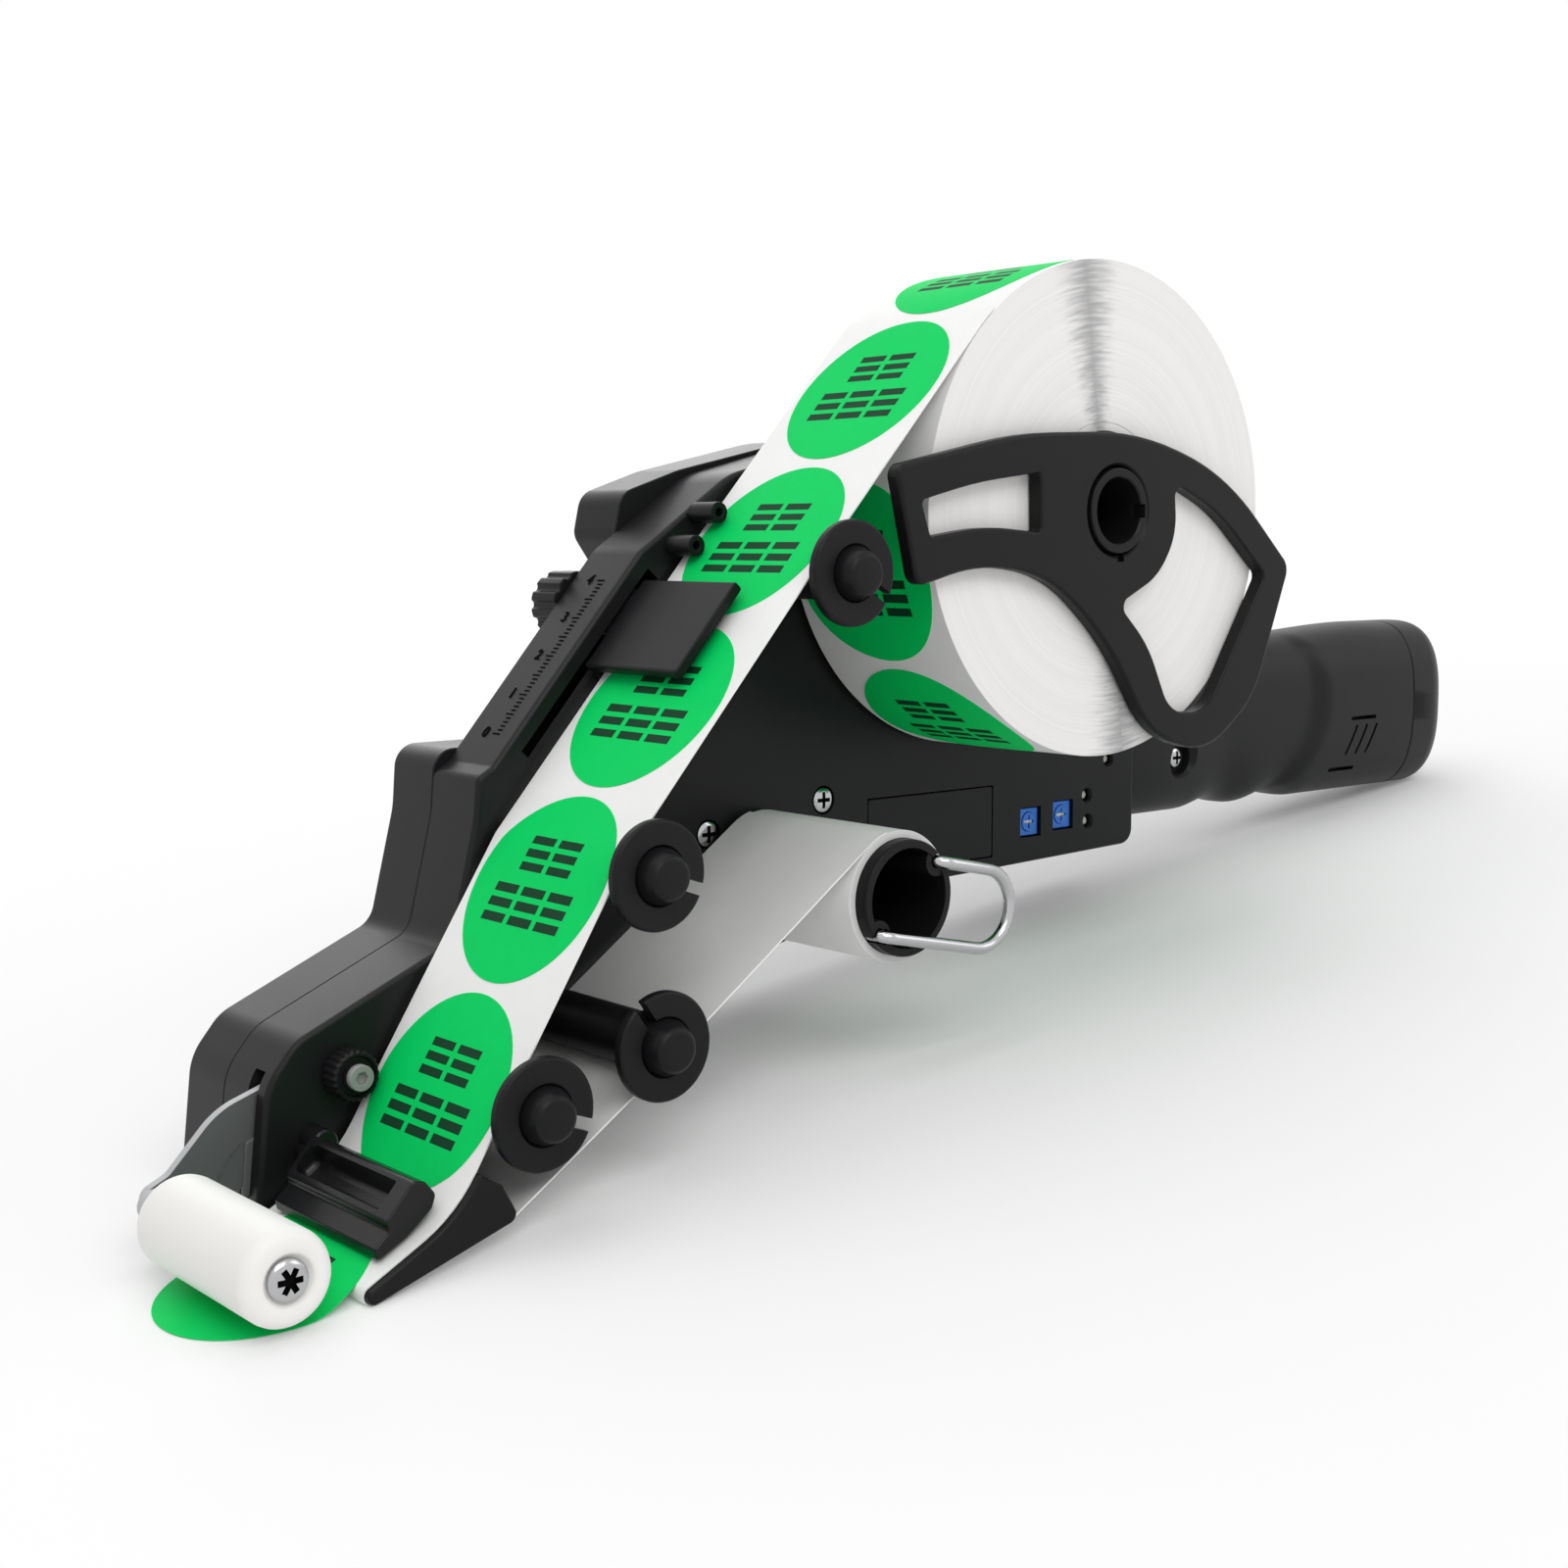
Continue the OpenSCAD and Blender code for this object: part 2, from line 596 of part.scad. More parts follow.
// Spool tube with two outer grooves that hold the clip's legs under the wound liner
clip_leg = 30;
clip_turn = -12;
clip_skew = 52;
clip_ring = spool_r - wire_r - 0.15;
module takeup_spool() {
    color(gloss_black) stand() {
        difference() {
            bar(spool_at, spool_r, clip_y + clip_bend, near_y - 2 * play);
            bar(spool_at, spool_r - spool_wall, -web_y - 4, near_y - 3);
            for (a = [clip_skew, clip_skew + 180]) {
                bar(spool_at + clip_ring * dir(a + clip_turn), wire_r + run, -web_y - 4, 12);
                bar(spool_at + spool_r * dir(a + clip_turn), wire_r + run, -web_y - 4, 12);
            }
        }
        bar(spool_at, shaft_r, near_y - 3.2, far_y - wall - 1);
    }
}

module waste_roll() {
    color(white) stand() tube(spool_at, waste_r, spool_r, -web_y, web_y);
}

// Wire clip: two legs in the spool and a pull loop outside its end, drawn along the loop
clip_y = -web_y - 4.4;
clip_loop = 20;
clip_bend = 3;
clip_sides = 16;
function wire_ring(p, u, w) =
    [for (i = [0 : clip_sides - 1]) let (a = 360 * i / clip_sides) p + wire_r * (cos(a) * u - sin(a) * w)];
module spool_clip() {
    half = clip_ring * sin(clip_skew);
    back = clip_ring * cos(clip_skew);
    tip = clip_bend + clip_leg;
    x = [1, 0, 0];
    y = [0, 1, 0];
    z = [0, 0, 1];
    low_bend = [for (t = [0 : 15 : 90])
        wire_ring([clip_bend * (1 - cos(t)) - back, clip_bend * (1 - sin(t)), -half],
            z, cos(t) * x + sin(t) * y)];
    loop = [for (t = [0 : 12 : 180])
        wire_ring([clip_loop + half * sin(t), 0, -half * cos(t)], cos(t) * z - sin(t) * x, y)];
    high_bend = [for (t = [0 : 15 : 90])
        wire_ring([clip_bend * (1 - sin(t)) + back, clip_bend * (1 - cos(t)), half],
            -z, sin(t) * x + cos(t) * y)];
    rings = concat([wire_ring([-back, tip, -half], z, x)], low_bend, loop, high_bend,
        [wire_ring([back, tip, half], -z, x)]);
    color(steel) stand() translate([spool_at.x, clip_y, spool_at.y]) rotate([0, -clip_turn, 0]) loft(rings);
}

module guide_axles() {
    color(steel) stand() for (at = guide_at) bar(at, axle_r, flange_y + 3, inner_y + 6);
}

module guide_roller(i) {
    color(gloss_black) stand() difference() {
        turned(guide_at[i]) polygon([[0, dome_y], [2.2, dome_y], [3.7, dome_y + 0.6], [4.6, dome_y + 1.7],
            [guide_r, flange_y], [guide_r, near_y - play], [0, near_y - play]]);
        bar(guide_at[i], axle_r + run, flange_y + 2, near_y + 1);
    }
}
module guide_roller_a() { guide_roller(0); }
module guide_roller_b() { guide_roller(1); }
module guide_roller_c() { guide_roller(2); }
module guide_roller_d() { guide_roller(3); }

// Snap flange: a disc with a collar, open at a notch
notch_turn = [-30, -20, 125, -20];
module flange(i) {
    color(gloss_black) stand() difference() {
        union() {
            bar(guide_at[i], flange_r, flange_y, flange_y + flange_t);
            bar(guide_at[i], guide_r + 2, flange_y, flange_y + flange_t + 1.4);
        }
        bar(guide_at[i], guide_r + run, flange_y - 1, flange_y + flange_t + 2);
        translate([guide_at[i].x, flange_y, guide_at[i].y]) rotate([0, -notch_turn[i], 0])
            translate([0, -1, -flange_notch / 2]) cube([flange_r + 1, flange_t + 4, flange_notch]);
    }
}
module flange_a() { flange(0); }
module flange_b() { flange(1); }
module flange_c() { flange(2); }
module flange_d() { flange(3); }

peg_s = [71.7, 80.8];
peg_r = 2.2;
module keeper_pegs() {
    color(gloss_black) stand() for (s = peg_s) tube(on_scale(s, peg_r + 0.9), peg_r, 0.9, 15, near_y);
}

// Spindle: a sleeve under the core and a bored end ring that carries the retainer
module roll_spindle() {
    color(gloss_black) stand() difference() {
        union() {
            bar(roll_at, core_r - core_wall - run, -web_y, near_y);
            bar(roll_at, spindle_ring_r, -web_y - 6, -web_y);
        }
        bar(roll_at, spindle_bore_r, -web_y - 7, near_y - 4);
        // Keyway in the end ring
        translate([roll_at.x + spindle_bore_r - 0.4, -web_y - 7, roll_at.y - 1.5]) cube([1.6, 4, 3]);
    }
}

module roll_core() {
    color(card) stand() tube(roll_at, core_r, core_r - core_wall, -web_y, web_y);
}

module label_roll() {
    color(white) stand() tube(roll_at, roll_r, core_r, -web_y, web_y);
}

// Labels on the outer turn of the roll
roll_label_count = floor(2 * PI * roll_r / label_pitch);
module roll_labels() {
    start = headings(supply_wheels)[0] - 90 - roll_hug;
    pitch = label_pitch / roll_r * 180 / PI;
    color(green) stand() for (k = [0 : roll_label_count - 1]) {
        a = start - pitch / 2 - k * pitch;
        intersection() {
            tube(roll_at, roll_r + label_t, roll_r, -web_y, web_y);
            translate([roll_at.x, 0, roll_at.y]) rotate([0, 90 - a, 0])
                cylinder(r = label_d / 2, h = roll_r + 2);
        }
    }
}

// Three-armed retainer with two windows and a twist-lock hub
retainer_t = 3.4;
retainer_y = -web_y - 0.6 - retainer_t;
retainer_edge = [[68, 79.5, 2.5], [74, 55.5, 3], [92, 60, 30], [113, 57.5, 20], [132, 43, 20],
    [147, 21.5, 14], [167, 16.5, 14], [184, 28, 12], [196.5, 59, 4], [172, 80, 40], [141, 88.6, 40],
    [104, 87, 60]];
left_window = [[75.2, 72.8, 1.2], [77.8, 65.6, 1.2], [94, 67.8, 20], [110, 66.6, 1], [109.6, 79, 1],
    [91, 76.6, 20]];
right_window = [[153.5, 77.5, 2], [154.6, 66, 10], [148.5, 57, 10], [135.5, 51, 2], [145.5, 42, 12],
    [153.5, 26.4, 8], [166.5, 26, 8], [187, 57, 2], [169, 71.5, 30]];
hub_r = 16;
module retainer() {
    color(gloss_black) stand() {
        difference() {
            union() {
                across(retainer_y, retainer_y + retainer_t) polygon(rounded(retainer_edge));
                bar(roll_at, hub_r, retainer_y, retainer_y + retainer_t);
                bar(roll_at, spindle_ring_r + 2.2, retainer_y - 1, retainer_y + retainer_t);
            }
            across(retainer_y - 2, retainer_y + retainer_t + 1) polygon(rounded(left_window));
            across(retainer_y - 2, retainer_y + retainer_t + 1) polygon(rounded(right_window));
            bar(roll_at, spindle_ring_r + run, retainer_y - 3, retainer_y + retainer_t + 1);
        }
    }
}

module label_web() {
    color(white) stand() across(-web_y, web_y) band(supply_path, 0, web_t);
}

// Labels that still lie on the liner, counted back from the nose as far as the web runs
web_label_count = floor((path_length(supply_path) - first_label - label_d / 2) / label_pitch) + 1;
module label_on_web(k) {
    p = back_along(supply_path, first_label + k * label_pitch, len(supply_path) - 1);
    intersection() {
        across(-web_y, web_y) band(supply_path, web_t, web_t + label_t);
        translate([p.x, 0, p.y]) rotate([0, 180 - p.z, 0]) translate([0, 0, -6])
            cylinder(r = label_d / 2, h = 12);
    }
}
module web_labels() {
    color(green) stand() for (k = [0 : web_label_count - 1]) label_on_web(k);
}

// Round label over its bend, cut along the mean of its two planes
module peeled_label() {
    color(green) stand() intersection() {
        across(-web_y, web_y) band(label_path, 0, label_t);
        translate([label_mid.x, 0, label_mid.y]) rotate([0, 180 - label_heading, 0])
            cylinder(r = label_d / 2, h = 60, center = true);
    }
}

module waste_liner() {
    color(white) stand() across(-web_y, web_y) band(waste_path, 0, web_t);
}

platen_end = -web_y - 1.4;
platen_top = [-23.4, -47.4];
module peel_platen() {
    low = heading(nose_at, nose_r, platen_back, heel_r);
    top = wrap(bend_at, -bend_r - web_gap, headings(supply_wheels)[3], platen_heading, 5);
    nose = wrap(nose_at, nose_r, platen_heading, low, 15);
    heel = wrap(platen_back, heel_r, low, low + 85, 15);
    color(gloss_black) stand() across(platen_end, near_y)
        polygon([for (q = concat(top, nose, heel, [platen_top])) xy(q)]);
}

// Hold-down trough over the platen, hinged on a pin beside the web
press_pin_at = on_platen(18.5, 6);
press_pin_r = 1.6;
press_lift = web_t + label_t + 0.45;
press_end = -web_y + 3;
press_section = [[4.6, press_lift], [11.6, press_lift], [17.6, press_lift + 1.1], [19.6, 3.8], [19, 7.2],
    [17.2, 9], [9.2, 5.9], [8.8, 3.7], [4.8, press_lift + 1.1]];
press_trough = [[10.6, 3.2], [15.6, 3.8], [16.2, 12], [9.6, 12]];
module press_bar() {
    color(gloss_black) stand() difference() {
        across(press_end, near_y - play) polygon([for (q = press_section) on_platen(q.x, q.y)]);
        bar(press_pin_at, press_pin_r + run, near_y - 8, near_y + 1);
        across(press_end + 2.4, web_y - 7) polygon([for (q = press_trough) on_platen(q.x, q.y)]);
    }
}
module press_pin() {
    color(steel) stand() bar(press_pin_at, press_pin_r, near_y - 5.8, inner_y);
}

edge_y = [near_y - 5.6, near_y - 0.5];
module edge_wheel() {
    color(gloss_black) stand() difference() {
        turned(edge_at) polygon([[0, edge_y[0]], [edge_r - 0.7, edge_y[0]], [edge_r, edge_y[0] + 0.7],
            [edge_r, edge_y[1] - 0.7], [edge_r - 0.7, edge_y[1]], [0, edge_y[1]]]);
        bar(edge_at, 1.5 + run, edge_y[0] - 1, edge_y[1] + 1);
    }
}
module edge_wheel_screw() {
    color(steel) stand() {
        difference() {
            bar(edge_at, 2.5, edge_y[0] - 1.8, edge_y[0] - 0.1);
            translate([edge_at.x, edge_y[0] - 1.8, edge_at.y]) rotate([90, 0, 0])
                cylinder(r = 1.3, h = 2.2, center = true, $fn = 6);
        }
        bar(edge_at, 1.5, edge_y[0] - 0.2, inner_y);
    }
}

// Sprung sector arm that carries the applicator roller at the front
arm_edge = [[-30.5, -38, 4], [-41, -35.6, 8], [-52.6, -39.4, 16], [-62.4, -49.6, 4], [-67.2, -51.8, 3],
    [-68, -57, 3], [-60, -58.2, 5], [-45, -54, 8], [-30, -47, 5]];
module roller_arm() {
    color([0.3, 0.3, 0.31]) stand() difference() {
        union() {
            across(arm_y, arm_y + arm_t) polygon(rounded(arm_edge));
            bar(roller_at, 3.2, roller_y[1] + play, arm_y + 0.5);
        }
        bar(roller_at, 2, roller_y[1], arm_y + arm_t + 4);
        bar(arm_at, 2 + run, arm_y - 1, arm_y + arm_t + 1);
    }
}
module arm_pivot() {
    color(steel) stand() bar(arm_at, 2, inner_y, seam_y - 1);
}
module arm_spring() {
    color(steel) stand() tube(arm_at, 3.6, 2.3, arm_y + arm_t + play, seam_y - 3);
}

roller_y = [-24, 18];
module applicator_roller() {
    f = 3;
    color(white) stand() difference() {
        turned(roller_at) polygon(concat([[0, roller_y[0]]],
            [for (a = [0 : 15 : 90]) [roller_r - f + f * sin(a), roller_y[0] + f - f * cos(a)]],
            [for (a = [90 : -15 : 0]) [roller_r - f + f * sin(a), roller_y[1] - f + f * cos(a)]],
            [[0, roller_y[1]]]));
        bar(roller_at, 2 + run, roller_y[0] - 1, roller_y[1] + 1);
        bar(roller_at, 4.6, roller_y[0] - 1, roller_y[0] + 1.6);
    }
}
module roller_screw() {
    seat = roller_y[0] + 1.2;
    color(steel) stand() screw(roller_at, 2, 4.2, 2, seat, arm_y + arm_t - seat, 1);
}

// Sensor: two jaws round the web, a stem in the slot, and a clamp knob on the far side
sensor_near = -7;
knob_lead = 5;
jaw_t = 2.4;
jaw_v = 2;
bridge_y = [web_y + 0.3, near_y - 0.3];
module sensor_box(v0, v1, y0, y1, s0, s1) {
    across(y0, y1) polygon([on_scale(s0, v0), on_scale(s1, v0), on_scale(s1, v1), on_scale(s0, v1)]);
}
module sensor_head() {
    s0 = sensor_s - sensor_l / 2;
    s1 = sensor_s + sensor_l / 2;
    color(gloss_black) stand() {
        difference() {
            union() {
                sensor_box(jaw_v, jaw_v + jaw_t, sensor_near, bridge_y[1], s0, s1);
                sensor_box(-2.2 - jaw_t, -2.2, sensor_near, bridge_y[1], s0, s1);
                sensor_box(-2.2 - jaw_t, jaw_v + jaw_t, bridge_y[0], bridge_y[1], s0, s1);
                sensor_box(slot_v - slot_w / 2 + 0.15, slot_v + slot_w / 2 - 0.15, bridge_y[0], inner_y + 3,
                    sensor_s - 3, sensor_s + 9);
            }
            bar(on_scale(sensor_s + knob_lead, slot_v), 1 + run, near_y - 3, inner_y + 4);
        }
    }
}
module sensor_knob() {
    at = on_scale(sensor_s + knob_lead, slot_v);
    color(gloss_black) stand() {
        bar(at, 1, near_y - 1.5, seam_y + 2);
        difference() {
            bar(at, knob_r, seam_y + play, seam_y + 9);
            for (a = [0 : 30 : 330]) bar(at + (knob_r + 0.3) * dir(a), 1, seam_y, seam_y + 10);
        }
    }
}

frame_shell();
cover_shell();
access_hatch();
shell_screws();
handle_grip();
handle_cap();
handle_screw();
battery_cells();
control_board();
trimmer_cases();
trimmer_rotor_1();
trimmer_rotor_2();
status_leds();
feed_switch();
power_button();
drive_motor();
motor_pinion();
spool_gear();
takeup_spool();
waste_roll();
spool_clip();
guide_axles();
guide_roller_a();
guide_roller_b();
guide_roller_c();
guide_roller_d();
flange_a();
flange_b();
flange_c();
flange_d();
keeper_pegs();
roll_spindle();
roll_core();
label_roll();
roll_labels();
retainer();
label_web();
web_labels();
peeled_label();
waste_liner();
peel_platen();
press_bar();
press_pin();
edge_wheel();
edge_wheel_screw();
roller_arm();
arm_pivot();
arm_spring();
applicator_roller();
roller_screw();
sensor_head();
sensor_knob();
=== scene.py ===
"""Looks of a battery-driven hand label applicator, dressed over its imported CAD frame.

Shapes are worked out in millimetres in the machine frame: X runs from the front roller to the handle,
Y from the label side into the housing, and Z is up with the handle level. TO_ROW sets them on the floor,
in metres.
"""
import json
from math import acos, atan2, ceil, copysign, cos, degrees, hypot, pi, radians, sin, tan

import bmesh
import bpy
from mathutils import Matrix, Vector

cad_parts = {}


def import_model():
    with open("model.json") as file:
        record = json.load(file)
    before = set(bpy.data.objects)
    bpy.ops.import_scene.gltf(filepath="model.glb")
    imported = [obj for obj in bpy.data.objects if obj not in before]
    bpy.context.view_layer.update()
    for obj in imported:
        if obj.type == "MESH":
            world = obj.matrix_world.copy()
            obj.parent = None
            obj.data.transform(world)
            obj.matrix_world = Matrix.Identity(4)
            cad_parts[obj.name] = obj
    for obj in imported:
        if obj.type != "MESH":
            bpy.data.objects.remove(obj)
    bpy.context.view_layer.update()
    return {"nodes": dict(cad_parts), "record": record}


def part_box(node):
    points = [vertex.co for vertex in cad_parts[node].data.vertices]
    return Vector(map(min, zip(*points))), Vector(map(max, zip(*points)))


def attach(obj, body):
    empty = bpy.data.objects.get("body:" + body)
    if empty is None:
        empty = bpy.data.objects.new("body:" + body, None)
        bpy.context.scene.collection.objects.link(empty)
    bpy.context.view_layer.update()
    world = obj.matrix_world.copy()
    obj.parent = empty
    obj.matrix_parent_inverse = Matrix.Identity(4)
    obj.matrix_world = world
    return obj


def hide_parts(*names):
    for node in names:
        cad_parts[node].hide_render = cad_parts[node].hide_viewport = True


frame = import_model()
NODES = frame["nodes"]
BODY_OF = {node: body for body, nodes in frame["record"]["behaviour"]["bodies"].items() for node in nodes}
PER_METRE = 1000.0

# Supply roll, web and labels
ROLL_AT = (134.4, 71.3)
ROLL_R = 53.6
LABEL_WEB_W = 43.2
LABEL_D = 40.0
LABEL_PITCH = 42.5
FIRST_LABEL = 37.5
LABEL_OUT = 8.0
LABEL_T = 0.15
LABEL_BEND = 15.0
WEB_LABELS = 5
ROLL_LABELS = 7
WEB_T = 0.3
WEB_GAP = 0.1
ROLL_HUG = 7.0

# Wheels that the web runs over: axis, then radius, with the far side of the web as negative
GUIDE_S = 5.4
NOSE_AT = (-49.0, -61.6)
NOSE_S = 1.5
SUPPLY_WHEELS = (
    (ROLL_AT, ROLL_R + LABEL_T + WEB_GAP),
    ((56.99, 58.61), GUIDE_S),
    ((9.3, 4.4), GUIDE_S),
    ((-16.2, -35.5), GUIDE_S),
    ((-51.9, -29.8), -28.0),
    (NOSE_AT, NOSE_S),
)

# Housing: outline corners as x, z and radius
NEAR_Y = 23.2
SEAM_Y = 40.0
FAR_Y = 56.0
WALL = 2.4
EDGE_ROUND = 1.1
SEAM_CHAMFER = 0.25
SEAM_LIP = 0.05
BACK_CORNERS = ((199.6, -12.6, 4), (199.6, 44, 10), (172, 76, 24), (138, 88, 24))
FRONT_CORNERS = ((1.2, 10, 20), (-4.6, -13.2, 6), (-38.6, -27.8, 10), (-44.9, -35.4, 12), (-47.6, -59.6, 1.5),
                 (-22, -54.8, 8), (14, -42, 20), (60, -30, 30), (112, -15.5, 24))
SCALE_EDGE = ((42, 62.8, 8), (5.5, 20.6, 2))
NEAR_CORNERS = BACK_CORNERS + ((98, 87, 40), (66, 79, 20)) + SCALE_EDGE + ((2, 18.6, 2.5),) + FRONT_CORNERS
FAR_CORNERS = BACK_CORNERS + ((98, 87.6, 40), (65, 80.2, 20), (49.5, 75, 5), (47.5, 66, 4), (54, 57, 4),
                              (30.5, 27, 10), (27, 23, 4), (2.2, 23, 5)) + FRONT_CORNERS
HATCH = (106.0, -11.4, 147.4, 6.2)
TRIMMERS = ((160.8, -3.9), (172.6, -3.1))
TRIMMER_WINDOW = 7.4
CLEAR = 2
LAMPS = ((181.5, 1.1), (182.0, -5.5), (189.5, 9.7))
LAMP_R = 1.5
LAMP_GAP = 0.3
LAMP_DOME = 0.8
LAMP_Y = (NEAR_Y + 1.1, NEAR_Y + 5)
BUTTON_AT = (172.0, 24.0)
BUTTON_R = 5.3
BUTTON_LIP = 0.5
BUTTON_FLARE = 1.5
SPOOL_AT = (73.3, -7.0)
SHAFT_R = 4.1
ARM_WINDOW = ((-60, -36), (-38, -32.6), (-36, -44), (-40, -59), (-60, -62))
ARM_SLOT_Y = (26.7, 30.5)
SLOT_S = (16.0, 64.0)
SLOT_V = 3.2
SLOT_W = 3.4
SCREWS_NEAR = ((92.5, 7.0), (59.5, 2.2))
SCREWS_FAR = ((186.0, 34.0), (108.0, 62.0), (-28.5, -30.0), (38.0, -22.0))
SEAT_NEAR = NEAR_Y + 1.4
SEAT_FAR = FAR_Y - 2.0
SCREW_R = 3.0
SCREW_GAP = 0.3

# Handle
GRIP_X = 199.6
GRIP_L = 127.0
CAP_L = 22.0
CAP_ROUND = 12.0
CAP_GAP = 0.3
CAP_CHAMFER = 0.5
GRIP_H = 49.0
GRIP_W = 32.0
GRIP_Y = (NEAR_Y + FAR_Y) / 2
GRIP_Z = 16.6
HANDLE_SCREW_AT = (221.5, 7.6)
HANDLE_SEAT = NEAR_Y + 5.5

# Front
ROLLER_AT = (-65.2, -54.6)
ROLLER_R = 8.5
ROLLER_Y = (-24.0, 18.0)
ROLLER_SEAT = ROLLER_Y[0] + 1.2

# Camera, in the machine frame; the picture is 1600 pixels square
PICTURE = 1600
FOCAL_PIXELS = 2141.149
CAMERA_AT = (-218.4, -326.1, 64.8)
CAMERA_RIGHT = (0.759, -0.651, 0.0)
CAMERA_FORWARD = (0.646, 0.754, -0.115)
SENSOR_MM = 36.0
CLIP_M = (0.01, 50.0)


def node_centre(node):
    low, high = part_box(node)
    return (low + high) / 2


def machine_to_row():
    """Matrix from machine millimetres to the row frame in metres, from two axes that the frame holds."""
    roll = node_centre("label_roll")
    roller = node_centre("applicator_roller")
    drawn = atan2(ROLL_AT[1] - ROLLER_AT[1], ROLL_AT[0] - ROLLER_AT[0])
    standing = atan2(roll.z - roller.z, roll.x - roller.x)
    spin = Matrix.Rotation(drawn - standing, 4, "Y")
    to_axis = Matrix.Translation((-ROLL_AT[0], 0, -ROLL_AT[1]))
    return Matrix.Translation(roll) @ spin @ Matrix.Scale(1 / PER_METRE, 4) @ to_axis


TO_ROW = machine_to_row()
LEAN = TO_ROW.to_euler().y


def row_point(x, y, z):
    return TO_ROW @ Vector((x, y, z))


# Node graphs

class Value:
    """A node's output that can be used in sums."""

    def __init__(self, graph, socket):
        self.graph = graph
        self.socket = socket

    def beside(self, output):
        """Another output of the same node."""
        return Value(self.graph, self.socket.node.outputs[output])

    def sum(self, operation, *terms):
        return self.graph.node("ShaderNodeMath", dict(enumerate(terms)), operation=operation)

    def fraction(self):
        return self.sum("FRACT", self)


SUMS = {"add": "ADD", "radd": "ADD", "sub": "SUBTRACT", "mul": "MULTIPLY", "rmul": "MULTIPLY",
        "truediv": "DIVIDE", "pow": "POWER", "lt": "LESS_THAN", "abs": "ABSOLUTE"}
for sign, operation in SUMS.items():
    setattr(Value, f"__{sign}__", lambda first, *others, kind=operation: first.sum(kind, first, *others))


class Graph:
    """The nodes of one tree."""

    def __init__(self, tree):
        self.tree = tree

    def fill(self, socket, value):
        if isinstance(value, Value):
            self.tree.links.new(value.socket, socket)
        else:
            socket.default_value = value

    def node(self, kind, sockets=None, out=0, **settings):
        """A new node with its settings and sockets; gives the value of one of its outputs."""
        made = self.tree.nodes.new(kind)
        for name, value in settings.items():
            setattr(made, name, value)
        for key, value in (sockets or {}).items():
            self.fill(made.inputs[key], value)
        return Value(self, made.outputs[out])

    def vector(self, x=0.0, y=0.0, z=0.0):
        return self.node("ShaderNodeCombineXYZ", {0: x, 1: y, 2: z})

    def seen(self):
        """1 for rays that show a picture, from the camera, off metal or through glass, and 0 for others."""
        rays = self.node("ShaderNodeLightPath", out="Is Camera Ray")
        either = rays.sum("MAXIMUM", rays, rays.beside("Is Glossy Ray"))
        return either.sum("MAXIMUM", either, rays.beside("Is Transmission Ray"))


class Finish(Graph):
    """One material and the nodes that make it."""

    def __init__(self, name):
        self.material = bpy.data.materials.new(name)
        self.material.use_nodes = True
        super().__init__(self.material.node_tree)
        self.shader = self.tree.nodes["Principled BSDF"]

    def object_place(self):
        return self.node("ShaderNodeTexCoord", out="Object")

    def noise(self, scale, detail=2.0, place=None):
        """Noise with cells of about one metre over scale."""
        sockets = {"Vector": place or self.object_place(), "Scale": scale, "Detail": detail}
        return self.node("ShaderNodeTexNoise", sockets)

    def line_noise(self, along, scale, detail):
        sockets = {"W": along, "Scale": scale, "Detail": detail}
        return self.node("ShaderNodeTexNoise", sockets, noise_dimensions="1D")

    def soft_range(self, value, low, high, first=0.0, last=1.0):
        """From first to last in a soft curve, while the value goes from low to high."""
        sockets = {"Value": value, "From Min": low, "From Max": high, "To Min": first, "To Max": last}
        return self.node("ShaderNodeMapRange", sockets, interpolation_type="SMOOTHSTEP")

    def mix(self, factor, a, b):
        """Colour a where factor is 0 and colour b where it is 1."""
        sockets = {0: factor, 6: opaque(a), 7: opaque(b)}
        return self.node("ShaderNodeMix", sockets, out=2, data_type="RGBA")

    def bump(self, height, strength, distance):
        sockets = {"Height": height, "Strength": strength, "Distance": distance}
        return self.node("ShaderNodeBump", sockets)

    def surface(self, **inputs):
        for name, value in inputs.items():
            self.fill(self.shader.inputs[name.replace("_", " ")], value)
        return self.material


def opaque(colour):
    return colour if isinstance(colour, Value) else (*colour, 1.0)


# Materials

def grained(name, dark, light, rough, cloud, bump, grain=None, sway=0.0, speckle=0.0, **inputs):
    """A cloudy, grained finish: cloud and grain set its noise, and sway and speckle vary its roughness."""
    f = Finish(name)
    clouds = f.noise(*cloud)
    grains = f.noise(*grain) if grain else clouds
    if sway:
        rough = rough + sway * (clouds - 0.5)
    if speckle:
        rough = rough + speckle * (grains - 0.5)
    colour = f.mix(clouds, dark, light)
    return f.surface(Base_Color=colour, Roughness=rough, Normal=f.bump(grains, *bump), **inputs)


def moulded_plastic(name, dark, light, rough, grain, specular):
    """Moulded plastic with spark-eroded grain and faint cloudiness."""
    return grained(name, dark, light, rough, (22.0, 3.0), (0.25, 0.00006), (grain, 2.0), sway=0.12,
                   speckle=0.06, Specular_IOR_Level=specular)


def bare_metal(name, colour, rough, brush):
    """Drawn or turned metal with fine streaks."""
    dark = tuple(0.93 * c for c in colour)
    return grained(name, dark, colour, rough, (brush, 3.0), (0.06, 0.00003), sway=0.12, Metallic=1.0)


# Grey of the sheen that is painted above and below the roll's axis
PAINTED_SHEEN_GREY = (0.22, 0.22, 0.23)
TINY = 0.001


